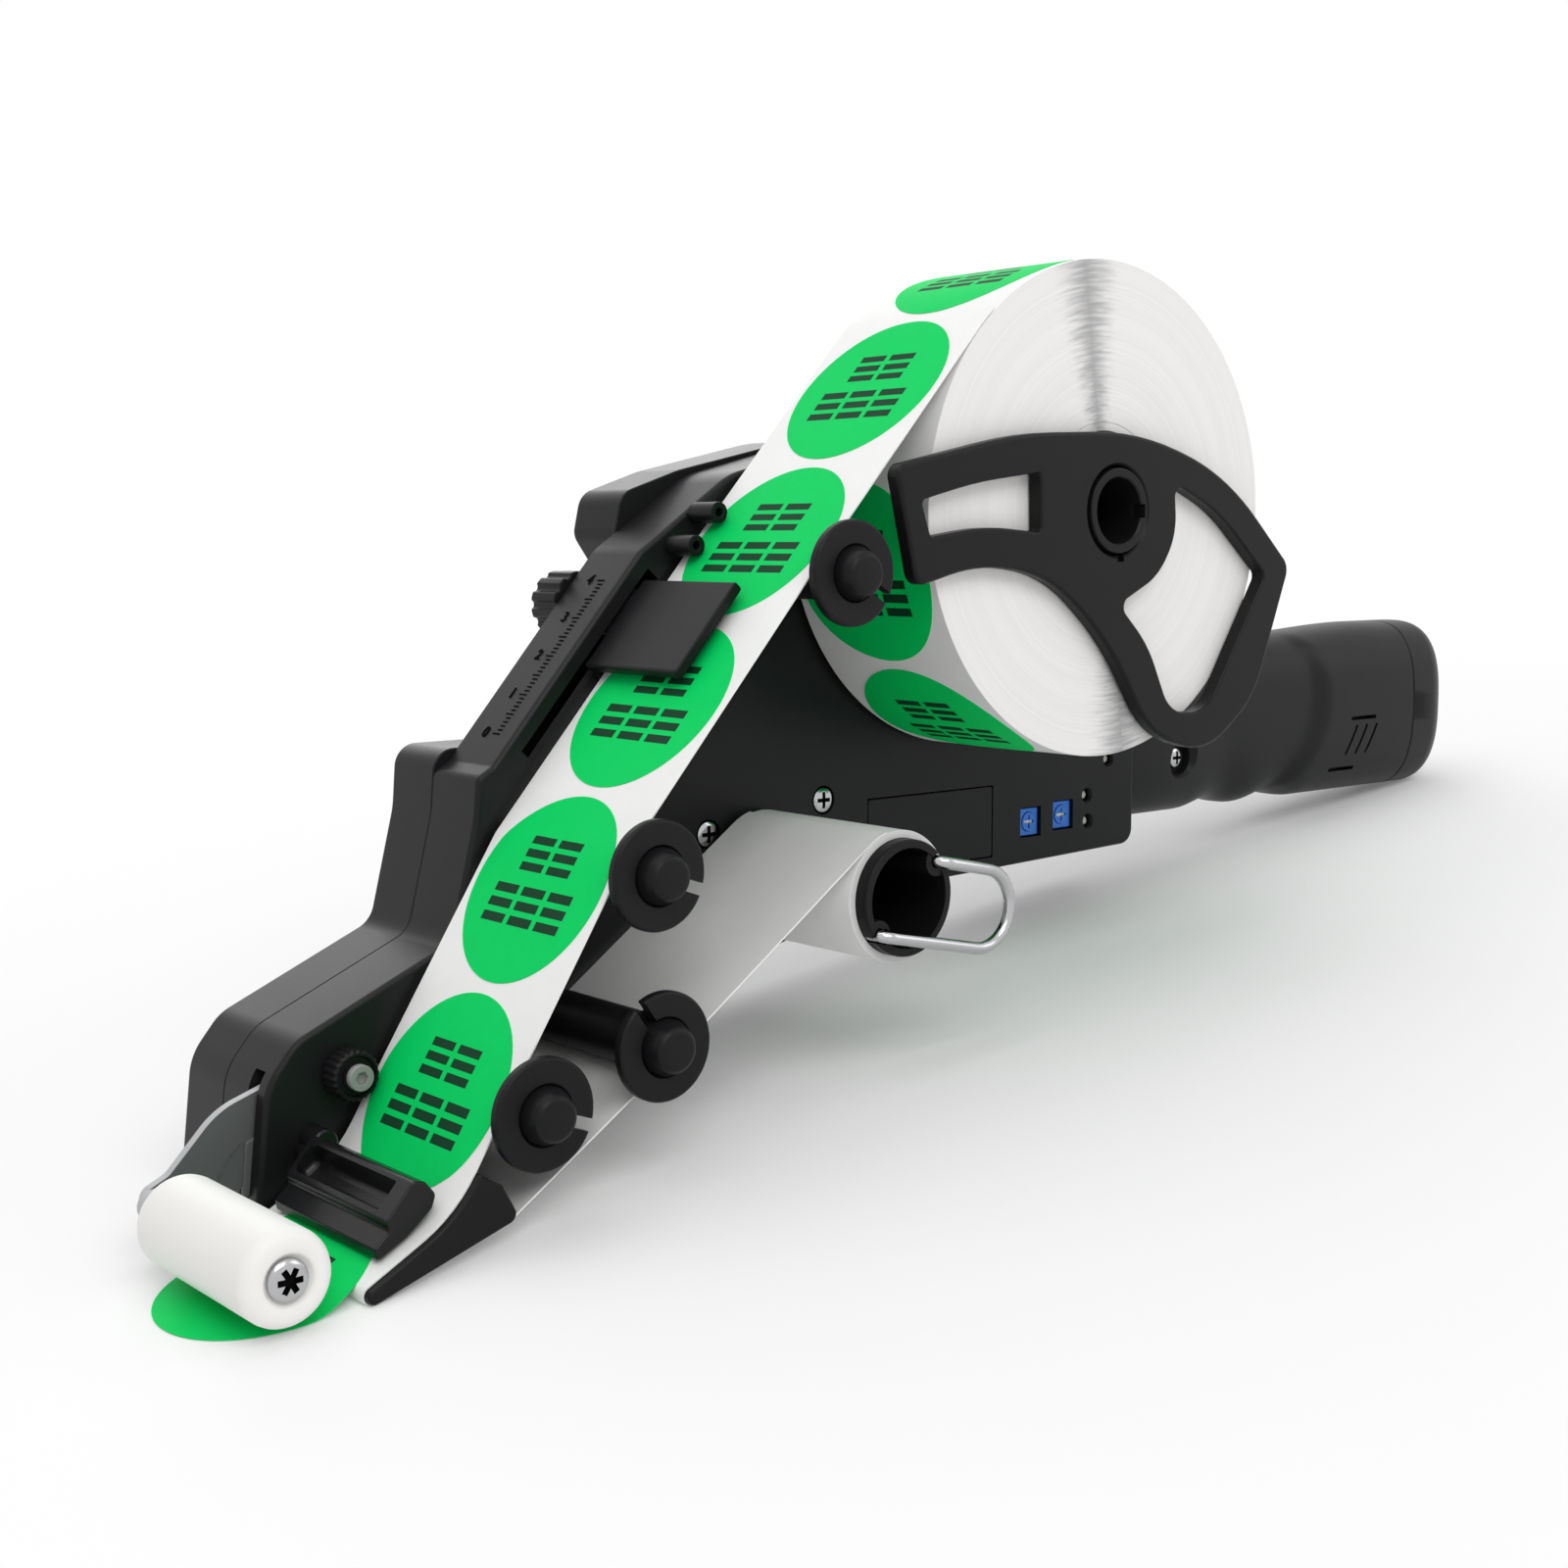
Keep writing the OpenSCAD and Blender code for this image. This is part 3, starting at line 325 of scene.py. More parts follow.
def wound_edges(name, axis, pale, dark, sheen):
    """Edges of wound paper: fine rings round the axis, and a ragged grey sheen painted into their colour
    above and below it.
    """
    f = Finish(name)
    place = f.node("ShaderNodeSeparateXYZ", {0: f.object_place()})
    x = place - axis.x
    z = place.beside(2) - axis.z
    radius = (x * x + z * z) ** 0.5
    fine = f.line_noise(radius, scale=1500.0, detail=2.0)
    broad = f.line_noise(radius, scale=190.0, detail=1.0)
    ring = 0.55 * fine + 0.45 * broad
    angle = x.sum("ARCTAN2", x, z)
    ragged = f.noise(scale=1.0, detail=3.0, place=f.vector(1400.0 * radius, 5.0 * angle))
    lean = abs(x) / (abs(z) + TINY)
    # Painted sheen: a ragged grey band above and below the axis, in the base colour
    painted_sheen_band = f.soft_range(lean - 0.3 * ragged, low=-0.2, high=0.08, first=sheen, last=0.0)
    return f.surface(
        Base_Color=f.mix(painted_sheen_band, f.mix(ring, dark, pale), PAINTED_SHEEN_GREY),
        Roughness=0.6,
        Specular_IOR_Level=0.25,
        Normal=f.bump(ring, strength=0.3, distance=0.0002),
    )


# Rows of print on a label, in label widths: middle, half height, half width and blocks
PRINT_ROWS = ((0.155, 0.105, 0.22, 2), (-0.115, 0.115, 0.33, 3))
PRINT_LINES = 3
BLOCK_HALF = 0.42
LINE_HALF = 0.31


def label_face():
    """Green label with two rows of blocks, each of plain printed lines; they follow the label's own map."""
    f = Finish("label_green")
    place = f.node("ShaderNodeSeparateXYZ", {0: f.node("ShaderNodeUVMap", uv_map="label")})
    u = place - 0.5
    v = place.beside(1) - 0.5

    def row(middle, half_height, half_width, blocks):
        inside = (abs(v - middle) < half_height) * (abs(u) < half_width)
        block = ((u + half_width) * (blocks / (2 * half_width))).fraction()
        line = ((v - middle + half_height) * (PRINT_LINES / (2 * half_height))).fraction()
        return inside * (abs(block - 0.5) < BLOCK_HALF) * (abs(line - 0.5) < LINE_HALF)

    upper, lower = (row(*numbers) for numbers in PRINT_ROWS)
    cloud = f.noise(scale=300.0, detail=3.0)
    ground = f.mix(cloud, (0.0, 0.60, 0.115), (0.0, 0.66, 0.135))
    return f.surface(
        Base_Color=f.mix(upper + lower, ground, (0.006, 0.045, 0.018)),
        Roughness=0.6 + 0.08 * (cloud - 0.5),
        Specular_IOR_Level=0.08,
        Normal=f.bump(f.noise(scale=1600.0), strength=0.08, distance=0.00003),
    )


# Plastics: name, dark and light colour, roughness, grain and specular level
BLACK = (0.006, 0.006, 0.007), (0.009, 0.009, 0.010)
CHARCOAL = (0.008, 0.008, 0.009), (0.012, 0.012, 0.013)
shell_plastic = moulded_plastic("shell_charcoal", *CHARCOAL, 0.36, 1700, 0.16)
black_plastic = moulded_plastic("black_satin", *BLACK, 0.38, 1500, 0.15)
gloss_plastic = moulded_plastic("black_gloss", *BLACK, 0.25, 900, 0.25)
arm_paint = moulded_plastic("arm_dark_grey", (0.10, 0.10, 0.105), (0.13, 0.13, 0.135), 0.5, 1200, 0.3)
# Paler copy of the arm's grey: a painted highlight on the arm's edges
arm_edge_painted_highlight = moulded_plastic("arm_light_edge", (0.42, 0.42, 0.43), (0.50, 0.50, 0.51), 0.45, 1200, 0.4)
zinc_grey = moulded_plastic("zinc_grey", (0.26, 0.26, 0.25), (0.32, 0.32, 0.31), 0.38, 1400, 0.4)
trimmer_blue = moulded_plastic("trimmer_blue", (0.012, 0.15, 0.62), (0.016, 0.19, 0.72), 0.35, 1300, 0.45)
rotor_white = moulded_plastic("rotor_white", (0.74, 0.74, 0.72), (0.82, 0.82, 0.80), 0.4, 1300, 0.4)
gear_nylon = moulded_plastic("gear_nylon", (0.70, 0.69, 0.64), (0.80, 0.79, 0.75), 0.45, 1300, 0.4)
board_green = moulded_plastic("board_green", (0.01, 0.09, 0.03), (0.015, 0.13, 0.045), 0.4, 900, 0.5)
lamp_clear = moulded_plastic("lamp_clear", (0.50, 0.50, 0.47), (0.60, 0.60, 0.56), 0.2, 900, 0.5)
# Black for the scale's marks, and painted shade deep in the screw recesses
mark_black = moulded_plastic("mark_black", (0.003, 0.003, 0.003), (0.005, 0.005, 0.005), 0.85, 1500, 0.02)
liner = grained("release_liner", (0.83, 0.83, 0.82), (0.88, 0.88, 0.87), 0.42, (160.0, 4.0),
                (0.12, 0.00004), (1400.0, 3.0), sway=0.1, Specular_IOR_Level=0.35)
roller_white = grained("roller_white", (0.84, 0.83, 0.81), (0.90, 0.89, 0.87), 0.5, (60.0, 2.0),
                       (0.15, 0.00008), (1100.0, 3.0), sway=0.1, Specular_IOR_Level=0.3)
card = grained("core_card", (0.62, 0.60, 0.56), (0.74, 0.72, 0.68), 0.85, (700.0, 4.0), (0.3, 0.0001))
# The roll's edges carry the painted sheen; the waste roll's edges carry none
roll_side_painted_sheen = wound_edges("roll_edges", node_centre("label_roll"), (0.90, 0.89, 0.88), (0.74, 0.73, 0.72), 0.75)
waste_side = wound_edges("waste_edges", node_centre("waste_roll"), (0.82, 0.82, 0.82), (0.58,) * 3, 0.0)
label_print = label_face()
chrome = bare_metal("chrome_wire", (0.50, 0.50, 0.51), 0.16, 500.0)
steel = bare_metal("machined_steel", (0.60, 0.60, 0.61), 0.32, 900.0)


# Mesh helpers

CREASE = 32.0
SOFT_CREASE = 40.0
CAD_CREASE = 35.0
SAME_PLACE = 2e-6
FLAT = 0.6


def linked(name, data):
    made = bpy.data.objects.new(name, data)
    bpy.context.collection.objects.link(made)
    return made


def put(name, mesh, body, nodes=()):
    """The finished piece: a mesh in the row frame that rides on a body and stands for CAD nodes."""
    piece = linked(name, mesh)
    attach(piece, body)
    if nodes:
        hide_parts(*nodes)
    return piece


def stand_in(node, mesh):
    """A finished mesh in the place of a CAD node, on that node's body."""
    return put(node + "_dressed", mesh, BODY_OF[node], [node])


def show(node, mesh, material, angle=CREASE):
    return stand_in(node, finished(weighted(mesh, angle), material))


def evaluated(data, prepare=None):
    """A new mesh from an object's data, after prepare(object) has added its modifiers."""
    holder = linked("holder", data)
    if prepare:
        prepare(holder)
    graph = bpy.context.evaluated_depsgraph_get()
    made = bpy.data.meshes.new_from_object(holder.evaluated_get(graph))
    bpy.data.objects.remove(holder)
    return made


def applied(mesh, kind, **settings):
    """A new mesh: the given one after a modifier."""
    def add(holder):
        modifier = holder.modifiers.new("step", kind)
        for key, value in settings.items():
            setattr(modifier, key, value)

    return evaluated(mesh, add)


def reworked(mesh, *steps):
    """The mesh after edits, each a function of the working mesh."""
    work = bmesh.new()
    work.from_mesh(mesh)
    for step in steps:
        step(work)
    work.to_mesh(mesh)
    work.free()
    return mesh


def face_outwards(work):
    bmesh.ops.recalc_face_normals(work, faces=work.faces)


def merge_points(work, distance=SAME_PLACE):
    bmesh.ops.remove_doubles(work, verts=work.verts, dist=distance)


def join_flat_faces(work):
    bmesh.ops.dissolve_limit(work, angle_limit=radians(FLAT), verts=work.verts, edges=work.edges)


def shaded(mesh, angle):
    """Smooth shading that breaks at edges sharper than the angle in degrees."""
    mesh.shade_smooth()
    mesh.set_sharp_from_angle(angle=radians(angle))
    return mesh


def weighted(mesh, angle=CREASE):
    """Smooth shading in which wide flat faces stay flat beside their rounded edges."""
    return applied(shaded(mesh, angle), "WEIGHTED_NORMAL", keep_sharp=True, weight=80)


def finished(mesh, *materials):
    mesh.materials.clear()
    for material in materials:
        mesh.materials.append(material)
    return mesh


def dress(node, material, width=0.25, segments=2, angle=CAD_CREASE):
    """A CAD node with its sharp edges rounded, by a width in millimetres, and a real finish."""
    mesh = reworked(NODES[node].data.copy(), merge_points, join_flat_faces)
    if width:
        bevelled = applied(mesh, "BEVEL", width=width / PER_METRE, segments=segments, limit_method="ANGLE",
                           angle_limit=radians(angle), use_clamp_overlap=False)
        return show(node, bevelled, material, angle)
    return stand_in(node, finished(shaded(mesh, angle), material))


def paint_faces(piece, material, chosen):
    """Faces that chosen(face) picks take a second material."""
    piece.data.materials.append(material)
    index = len(piece.data.materials) - 1
    for face in piece.data.polygons:
        if chosen(face):
            face.material_index = index


def mesh_of(points, faces):
    mesh = bpy.data.meshes.new("made")
    mesh.from_pydata(points, [], faces)
    return mesh


def closed_skin(rings):
    """A closed skin through rings of points."""
    n = len(rings[0])
    last = (len(rings) - 1) * n
    faces = [list(range(n))]
    for start in range(0, last, n):
        for j in range(n):
            k = (j + 1) % n
            faces.append([start + j, start + n + j, start + n + k, start + k])
    faces.append([last + j for j in reversed(range(n))])
    return reworked(mesh_of([p for ring in rings for p in ring], faces), face_outwards)


def loft(rings):
    """A closed skin through rings of machine-frame points."""
    return closed_skin([[row_point(*p) for p in ring] for ring in rings])


def joined(meshes):
    """Several meshes as one."""
    work = bmesh.new()
    for mesh in meshes:
        work.from_mesh(mesh)
    made = bpy.data.meshes.new("joined")
    work.to_mesh(made)
    work.free()
    return made


def combined(mesh, other, operation):
    """Two closed meshes joined by a boolean operation."""
    tool = linked("tool", other)
    made = applied(mesh, "BOOLEAN", object=tool, operation=operation, solver="EXACT")
    bpy.data.objects.remove(tool)
    return made


def fused(mesh, *others):
    for other in others:
        mesh = combined(mesh, other, "UNION")
    return mesh


def cut(mesh, cutters):
    """The mesh with each cutter taken out of it."""
    for cutter in cutters:
        mesh = combined(mesh, cutter, "DIFFERENCE")
    return mesh


def smooth_step(t):
    t = max(0.0, min(1.0, t))
    return t * t * (3 - 2 * t)


def turns(count):
    return [2 * pi * i / count for i in range(count)]


# Plane geometry of the web: headings in degrees, wheels on the left of the line with a positive radius

def direction(a):
    return Vector((cos(radians(a)), sin(radians(a))))


def normal(a):
    return Vector((sin(radians(a)), -cos(radians(a))))


def turn(a, b):
    return (b - a + 900) % 360 - 180


def tangent_heading(first, second):
    gap = Vector(second[0]) - Vector(first[0])
    spread = degrees(acos((first[1] - second[1]) / gap.length))
    return degrees(atan2(gap.y, gap.x)) + 90 - spread


def wrap(wheel, start, end, step=6.0):
    """Points (place, heading) of a web that turns round a wheel."""
    sweep = turn(start, end)
    count = max(0, ceil(abs(sweep) / step - TINY))
    headings = [start + sweep * i / max(count, 1) for i in range(count + 1)]
    return [(Vector(wheel[0]) + wheel[1] * normal(h), h) for h in headings]


def supply_track():
    """The web from the roll to the nose, and its headings."""
    heads = [tangent_heading(a, b) for a, b in zip(SUPPLY_WHEELS, SUPPLY_WHEELS[1:])]
    starts = [heads[0] - ROLL_HUG] + heads
    ends = heads + [heads[-1]]
    track = [point for wheel, a, b in zip(SUPPLY_WHEELS, starts, ends) for point in wrap(wheel, a, b)]
    return track, heads


def back_along(track, distance):
    """Place and heading at a distance back from the end of a track."""
    for (here, head), (before, head_before) in zip(track[::-1], track[-2::-1]):
        span = (here - before).length
        if distance <= span:
            t = distance / span if span else 0.0
            return here.lerp(before, t), head + turn(head, head_before) * t
        distance -= span
    return track[0]


WEB_TRACK, HEADS = supply_track()
PLATEN_HEADING = HEADS[-1]
SCALE_HEADING = HEADS[1] + 180
SCALE_FROM = Vector(SUPPLY_WHEELS[2][0]) + GUIDE_S * normal(SCALE_HEADING - 180)


def on_scale(s, v):
    return SCALE_FROM + s * direction(SCALE_HEADING) - v * normal(SCALE_HEADING)


def on_platen(u, v):
    return Vector(NOSE_AT) + (NOSE_S + v) * normal(PLATEN_HEADING) - u * direction(PLATEN_HEADING)


# Labels

DISC_RINGS = 9
DISC_SIDES = 72
BEND_STEP = 3.0
ROLL_STEP = 2.0


def label_disc(track, middle, lift):
    """Points, faces and map of a round label on a track, centred a distance back from the track's end."""
    points, uvs = [], []
    for thickness in (LABEL_T, 0.0):
        for i in range(DISC_RINGS + 1):
            r = LABEL_D / 2 * i / DISC_RINGS
            for a in turns(DISC_SIDES) if i else (0.0,):
                along, y = r * cos(a), -r * sin(a)
                place, head = back_along(track, middle + along)
                place = place + (lift + thickness) * normal(head)
                points.append((place.x, y, place.y))
                uvs.append((0.5 - y / LABEL_D, 0.5 + along / LABEL_D))

    def ring(i, j):
        return 0 if i == 0 else 1 + (i - 1) * DISC_SIDES + j % DISC_SIDES

    half = len(points) // 2
    faces = []
    for j in range(DISC_SIDES):
        patches = [[ring(0, 0), ring(1, j + 1), ring(1, j)]]
        for i in range(1, DISC_RINGS):
            patches.append([ring(i, j), ring(i, j + 1), ring(i + 1, j + 1), ring(i + 1, j)])
        for patch in patches:
            faces += [patch, [half + k for k in patch[::-1]]]
        a, b = ring(DISC_RINGS, j), ring(DISC_RINGS, j + 1)
        faces.append([a, b, half + b, half + a])
    return points, faces, uvs


def put_labels(name, body, node, discs):
    """One piece with a label map from several discs."""
    points, faces, uvs = [], [], []
    for disc_points, disc_faces, disc_uvs in discs:
        faces += [[len(points) + k for k in face] for face in disc_faces]
        points += disc_points
        uvs += disc_uvs
    mesh = mesh_of([row_point(*p) for p in points], faces)
    layer = mesh.uv_layers.new(name="label")
    for loop in mesh.loops:
        layer.data[loop.index].uv = uvs[loop.vertex_index]
    mesh = shaded(reworked(mesh, face_outwards), SOFT_CREASE)
    put(name, finished(mesh, label_print), body, [node])


def dispensed_track():
    """The first label's path: down the platen past the nose, round its bend and along the floor."""
    start = on_platen(LABEL_D, WEB_T)
    lean = degrees(LEAN)
    drop = row_point(start.x, 0, start.y).z * PER_METRE - LABEL_T
    fall = -sin(radians(PLATEN_HEADING - lean))
    corner = start + direction(PLATEN_HEADING) * drop / fall
    bend = -turn(PLATEN_HEADING, lean + 180)
    reach = LABEL_BEND * tan(radians(bend / 2))
    first = corner - reach * direction(PLATEN_HEADING)
    centre = first + LABEL_BEND * normal(PLATEN_HEADING)
    curve = wrap((centre, -LABEL_BEND), PLATEN_HEADING, lean + 180, BEND_STEP)
    last = corner + (reach + LABEL_D) * direction(lean + 180)
    track = [(start, PLATEN_HEADING)] + curve + [(last, lean + 180)]
    length = sum((b[0] - a[0]).length for a, b in zip(track, track[1:]))
    return track, length


def labels():
    web = [label_disc(WEB_TRACK, FIRST_LABEL + k * LABEL_PITCH, WEB_T) for k in range(WEB_LABELS)]
    put_labels("labels_on_web", "frame", "web_labels", web)

    end = HEADS[0] - ROLL_HUG
    thirds = [(end - 120 * k, end - 120 * (k - 1)) for k in (3, 2, 1)]
    round_roll = [point for third in thirds for point in wrap((ROLL_AT, ROLL_R), *third, ROLL_STEP)]
    roll = [label_disc(round_roll, (k + 0.5) * LABEL_PITCH, 0.0) for k in range(ROLL_LABELS)]
    put_labels("labels_on_roll", "roll", "roll_labels", roll)

    track, length = dispensed_track()
    first = label_disc(track, length - LABEL_D - LABEL_OUT, 0.0)
    put_labels("label_dispensed", BODY_OF["peeled_label"], "peeled_label", [first])


# Bodies across the machine

SIDES = 72
FINE_SIDES = 96
FILLET_SHARE = 0.48
NEARLY_STRAIGHT = 89.0
LEAST_SPREAD = 0.5
ROUND_STEPS = 6
FLARE_OUT = 0.5
FLARE_SHARE = 1.6


def fillet(before, corner, after, step):
    """Points of an outline's corner, rounded by its own radius."""
    here = Vector(corner[:2])
    u = Vector(before[:2]) - here
    v = Vector(after[:2]) - here
    reach = FILLET_SHARE * min(u.length, v.length)
    u.normalize()
    v.normalize()
    half = acos(max(-1.0, min(1.0, u.dot(v)))) / 2
    if corner[2] <= 0 or half > radians(NEARLY_STRAIGHT):
        return [here]
    t = min(corner[2] / tan(half), reach)
    middle = here + (u + v).normalized() * t / cos(half)
    start = here + u * t - middle
    stop = here + v * t - middle
    first = degrees(atan2(start.y, start.x))
    sweep = turn(first, degrees(atan2(stop.y, stop.x)))
    count = max(1, ceil(abs(sweep) / step))
    return [middle + start.length * direction(first + sweep * i / count) for i in range(count + 1)]


def outline(corners, step=3.0):
    n = len(corners)
    return [p for i in range(n) for p in fillet(corners[i - 1], corners[i], corners[(i + 1) % n], step)]


def drawn_in(points, amount):
    """An outline moved inwards, point by point."""
    moved = []
    for i, point in enumerate(points):
        one = (point - points[i - 1]).normalized()
        two = (points[(i + 1) % len(points)] - point).normalized()
        inward = Vector((-one.y - two.y, one.x + two.x)).normalized()
        spread = max(LEAST_SPREAD, inward.dot(Vector((-one.y, one.x))))
        moved.append(point + inward * amount / spread)
    return moved


def skin(points, stations):
    """A closed body across the machine: an outline at (y, inset) stations."""
    return loft([[(q.x, y, q.y) for q in drawn_in(points, inset)] for y, inset in stations])


def prism(points, y0, y1):
    return skin([Vector(q[:2]) for q in points], ((y0, 0.0), (y1, 0.0)))


def ccw(points):
    """The points in the order that keeps the inside on the left."""
    area = sum(a.x * b.y - b.x * a.y for a, b in zip(points, points[1:] + points[:1]))
    return points if area > 0 else points[::-1]


def quarter_round(y_face, into, radius):
    """Stations of a rounded edge, from a face inwards; into is the way from the face into the body."""
    if radius == 0:
        return [(y_face, 0.0)]
    steps = [radians(90 * i / ROUND_STEPS) for i in range(ROUND_STEPS + 1)]
    return [(y_face + into * radius * (1 - cos(a)), radius * (1 - sin(a))) for a in steps]


def plate(points, y0, y1, near_round, far_round):
    """A body between two faces across the machine, with its edges rounded."""
    return skin(ccw(points), quarter_round(y0, 1, near_round) + quarter_round(y1, -1, far_round)[::-1])


def flared(points, y_face, lip, y_end):
    """A cutter for a window whose edge is rounded at its near face."""
    stations = [(y_face - FLARE_OUT, -FLARE_SHARE * lip)]
    stations += [(y, -inset) for y, inset in quarter_round(y_face, 1, lip)] + [(y_end, 0.0)]
    return skin(ccw(points), stations)


def rectangle(x0, z0, x1, z1):
    return ((x0, z0), (x1, z0), (x1, z1), (x0, z1))


def turned(at, stations, sides=SIDES):
    """A turned body round an axis across the machine, as (radius, y) stations."""
    return loft([[(at[0] + radius * cos(a), y, at[1] + radius * sin(a)) for a in turns(sides)]
                 for radius, y in stations])


def pin(at, radius, y0, y1, sides=SIDES):
    return turned(at, ((radius, y0), (radius, y1)), sides)


def soft_pin(at, radius, y0, y1, rounded, sides=FINE_SIDES):
    """A pin whose near edge is rounded."""
    return turned(at, turned_corner(radius, y0, 1, rounded) + [(radius, y1)], sides)


def turned_corner(radius, y, into, fillet_radius):
    """Stations of a turned body's rounded outer edge, from its face at y inwards."""
    return [(radius - inset, place) for place, inset in quarter_round(y, into, fillet_radius)]


BOX_FACES = [[0, 1, 3, 2], [4, 6, 7, 5], [0, 4, 5, 1], [2, 3, 7, 6], [0, 2, 6, 4], [1, 5, 7, 3]]


def box_points(centre, size, spin):
    corners = [(x, y, z) for x in (-0.5, 0.5) for y in (-0.5, 0.5) for z in (-0.5, 0.5)]
    return [Vector(centre) + spin @ Vector([c * s for c, s in zip(corner, size)]) for corner in corners]


def box_cutter(centre, size, angle=0.0):
    """A box in the machine frame, turned about Y by an angle in degrees."""
    points = box_points(centre, size, Matrix.Rotation(radians(-angle), 4, "Y"))
    return mesh_of([row_point(*p) for p in points], BOX_FACES)


# Housing shells

FOLD_GUARD = 0.2


def wall_line(corners, wall):
    """The inside of a wall along an outline, with corners round enough that none folds over."""
    return drawn_in(outline([(x, z, max(radius, wall + FOLD_GUARD)) for x, z, radius in corners]), wall)


def shell(corners, y_face, pockets):
    """A hollow half of the housing, with a rounded face, a chamfer along the seam, and pockets."""
    into = 1 if y_face < SEAM_Y else -1
    stations = quarter_round(y_face, into, EDGE_ROUND)
    stations += [(SEAM_Y - into * SEAM_CHAMFER, 0.0), (SEAM_Y, SEAM_CHAMFER)]
    body = skin(outline(corners), stations)
    hollow = prism(wall_line(corners, WALL), y_face + into * WALL, SEAM_Y - into * WALL)
    mouth = prism(wall_line(NEAR_CORNERS, WALL + SEAM_LIP), SEAM_Y - 2 * WALL, SEAM_Y + 2 * WALL)
    other = prism(wall_line(FAR_CORNERS, WALL + SEAM_LIP), SEAM_Y - 3 * WALL, SEAM_Y + 3 * WALL)
    return cut(body, [hollow, combined(mouth, other, "INTERSECT")] + pockets)


def shells():
    deep = NEAR_Y + 2 * WALL
    out = NEAR_Y - CLEAR
    half = TRIMMER_WINDOW / 2
    side = SLOT_W / 2
    slot = [on_scale(s, SLOT_V + w) for s, w in rectangle(SLOT_S[0], -side, SLOT_S[1], side)]
    pockets = [prism(rectangle(*HATCH), out, deep), prism(slot, out, deep), prism(ARM_WINDOW, *ARM_SLOT_Y)]
    pockets += [prism(slot, SEAM_Y - 2 * WALL, SEAM_Y + 1)]
    pockets += [prism(rectangle(x - half, z - half, x + half, z + half), out, deep) for x, z in TRIMMERS]
    lamp_hole = ((LAMP_R + 1.2, out), (LAMP_R + 0.45, NEAR_Y), (LAMP_R, NEAR_Y + 0.6), (LAMP_R, deep))
    pockets += [turned(at, lamp_hole) for at in LAMPS]
    pockets += [pin(at, SCREW_R + SCREW_GAP, out, SEAT_NEAR) for at in SCREWS_NEAR]
    pockets += [pin(SPOOL_AT, SHAFT_R, out, deep)]
    show("frame_shell", shell(NEAR_CORNERS, NEAR_Y, pockets), shell_plastic)

    out = FAR_Y + CLEAR
    pockets = [pin(at, SCREW_R + SCREW_GAP, SEAT_FAR, out) for at in SCREWS_FAR]
    rim = (BUTTON_R, FAR_Y - BUTTON_LIP)
    pockets += [turned(BUTTON_AT, ((BUTTON_R, FAR_Y - 2 * WALL), rim, (BUTTON_R + BUTTON_FLARE, out)))]
    show("cover_shell", shell(FAR_CORNERS, FAR_Y, pockets), shell_plastic)


# Handle

GRIP_SIDES = 112
GRIP_STEP = 1.4
GRIP_EXPONENT = 2.7
CAP_CREASE = 45.0
CAP_STEPS = 18
SLIM = 1.9
SLIM_FROM = 212.0
SLIM_RUN = 32.0
POMMEL_X = 283.5
POMMEL_Z = 22.0
POMMEL_CURVE = 0.02
SHOULDER_EARLY = 5.0
SHOULDER_RUN = 8.0
FINGERS_FROM = 30.0
FINGER_PITCH = 26.0
FINGERS = 2
FINGER_DEPTH = 2.0
DIP = 1.2
DIP_FROM = 8.0
DIP_RUN = 110.0
SLOT_SIZE = (12.2, 6.0, 1.1)
SLOTS = ((301.7, 24.0, 14.2), (294.6, 26.4, -0.4))
GROOVE_SIZE = (1.0, 3.2, 9.4)
GROOVE_FROM = (296.6, 23.4, 8.0)
GROOVE_PITCH = 4.85
GROOVE_TURN = -27.0
GROOVES = 3
CELL_R = 9.2
CELL_GAP = 0.4
CELL_ROWS = (-9.6, 9.6)
CELL_FROM = 12.0
BAR_SIDES = 64
HANDLE_RECESS = ((6.6, NEAR_Y - 4), (6.0, NEAR_Y + 1.6), (4.5, NEAR_Y + 3.2), (4.4, NEAR_Y + 5.4))


def squared(t):
    """A sine or cosine drawn out towards a rounded square."""
    return copysign(abs(t) ** (2 / GRIP_EXPONENT), t)


def grip_ring(x, low, high, half_width, slim=0.0):
    """One section of the handle; slim draws its flanks in ahead of the pommel's curved shoulder."""
    points = []
    for a in turns(GRIP_SIDES):
        z = (low + high) / 2 + (high - low) / 2 * squared(sin(a))
        shoulder = POMMEL_X - POMMEL_CURVE * (z - POMMEL_Z) ** 2
        rise = smooth_step((x - SLIM_FROM) / SLIM_RUN)
        inset = slim * rise * (1 - smooth_step((x - shoulder + SHOULDER_EARLY) / SHOULDER_RUN))
        points.append((x, GRIP_Y + (half_width - inset) * squared(cos(a)), z))
    return points


def finger_depth(d):
    """Grooves for the fingers under the grip."""
    if d < FINGERS_FROM or d > FINGERS_FROM + FINGERS * FINGER_PITCH:
        return 0.0
    return FINGER_DEPTH / 2 * (1 - cos(2 * pi * (d - FINGERS_FROM) / FINGER_PITCH))


def top_dip(d):
    return DIP * (1 - cos(2 * pi * max(0.0, min(1.0, (d - DIP_FROM) / DIP_RUN))))


def along_grip(radius, z, x0, x1):
    """A round bar along the handle."""
    return loft([[(x, GRIP_Y + radius * cos(a), GRIP_Z + z + radius * sin(a)) for a in turns(BAR_SIDES)]
                 for x in (x0, x1)])


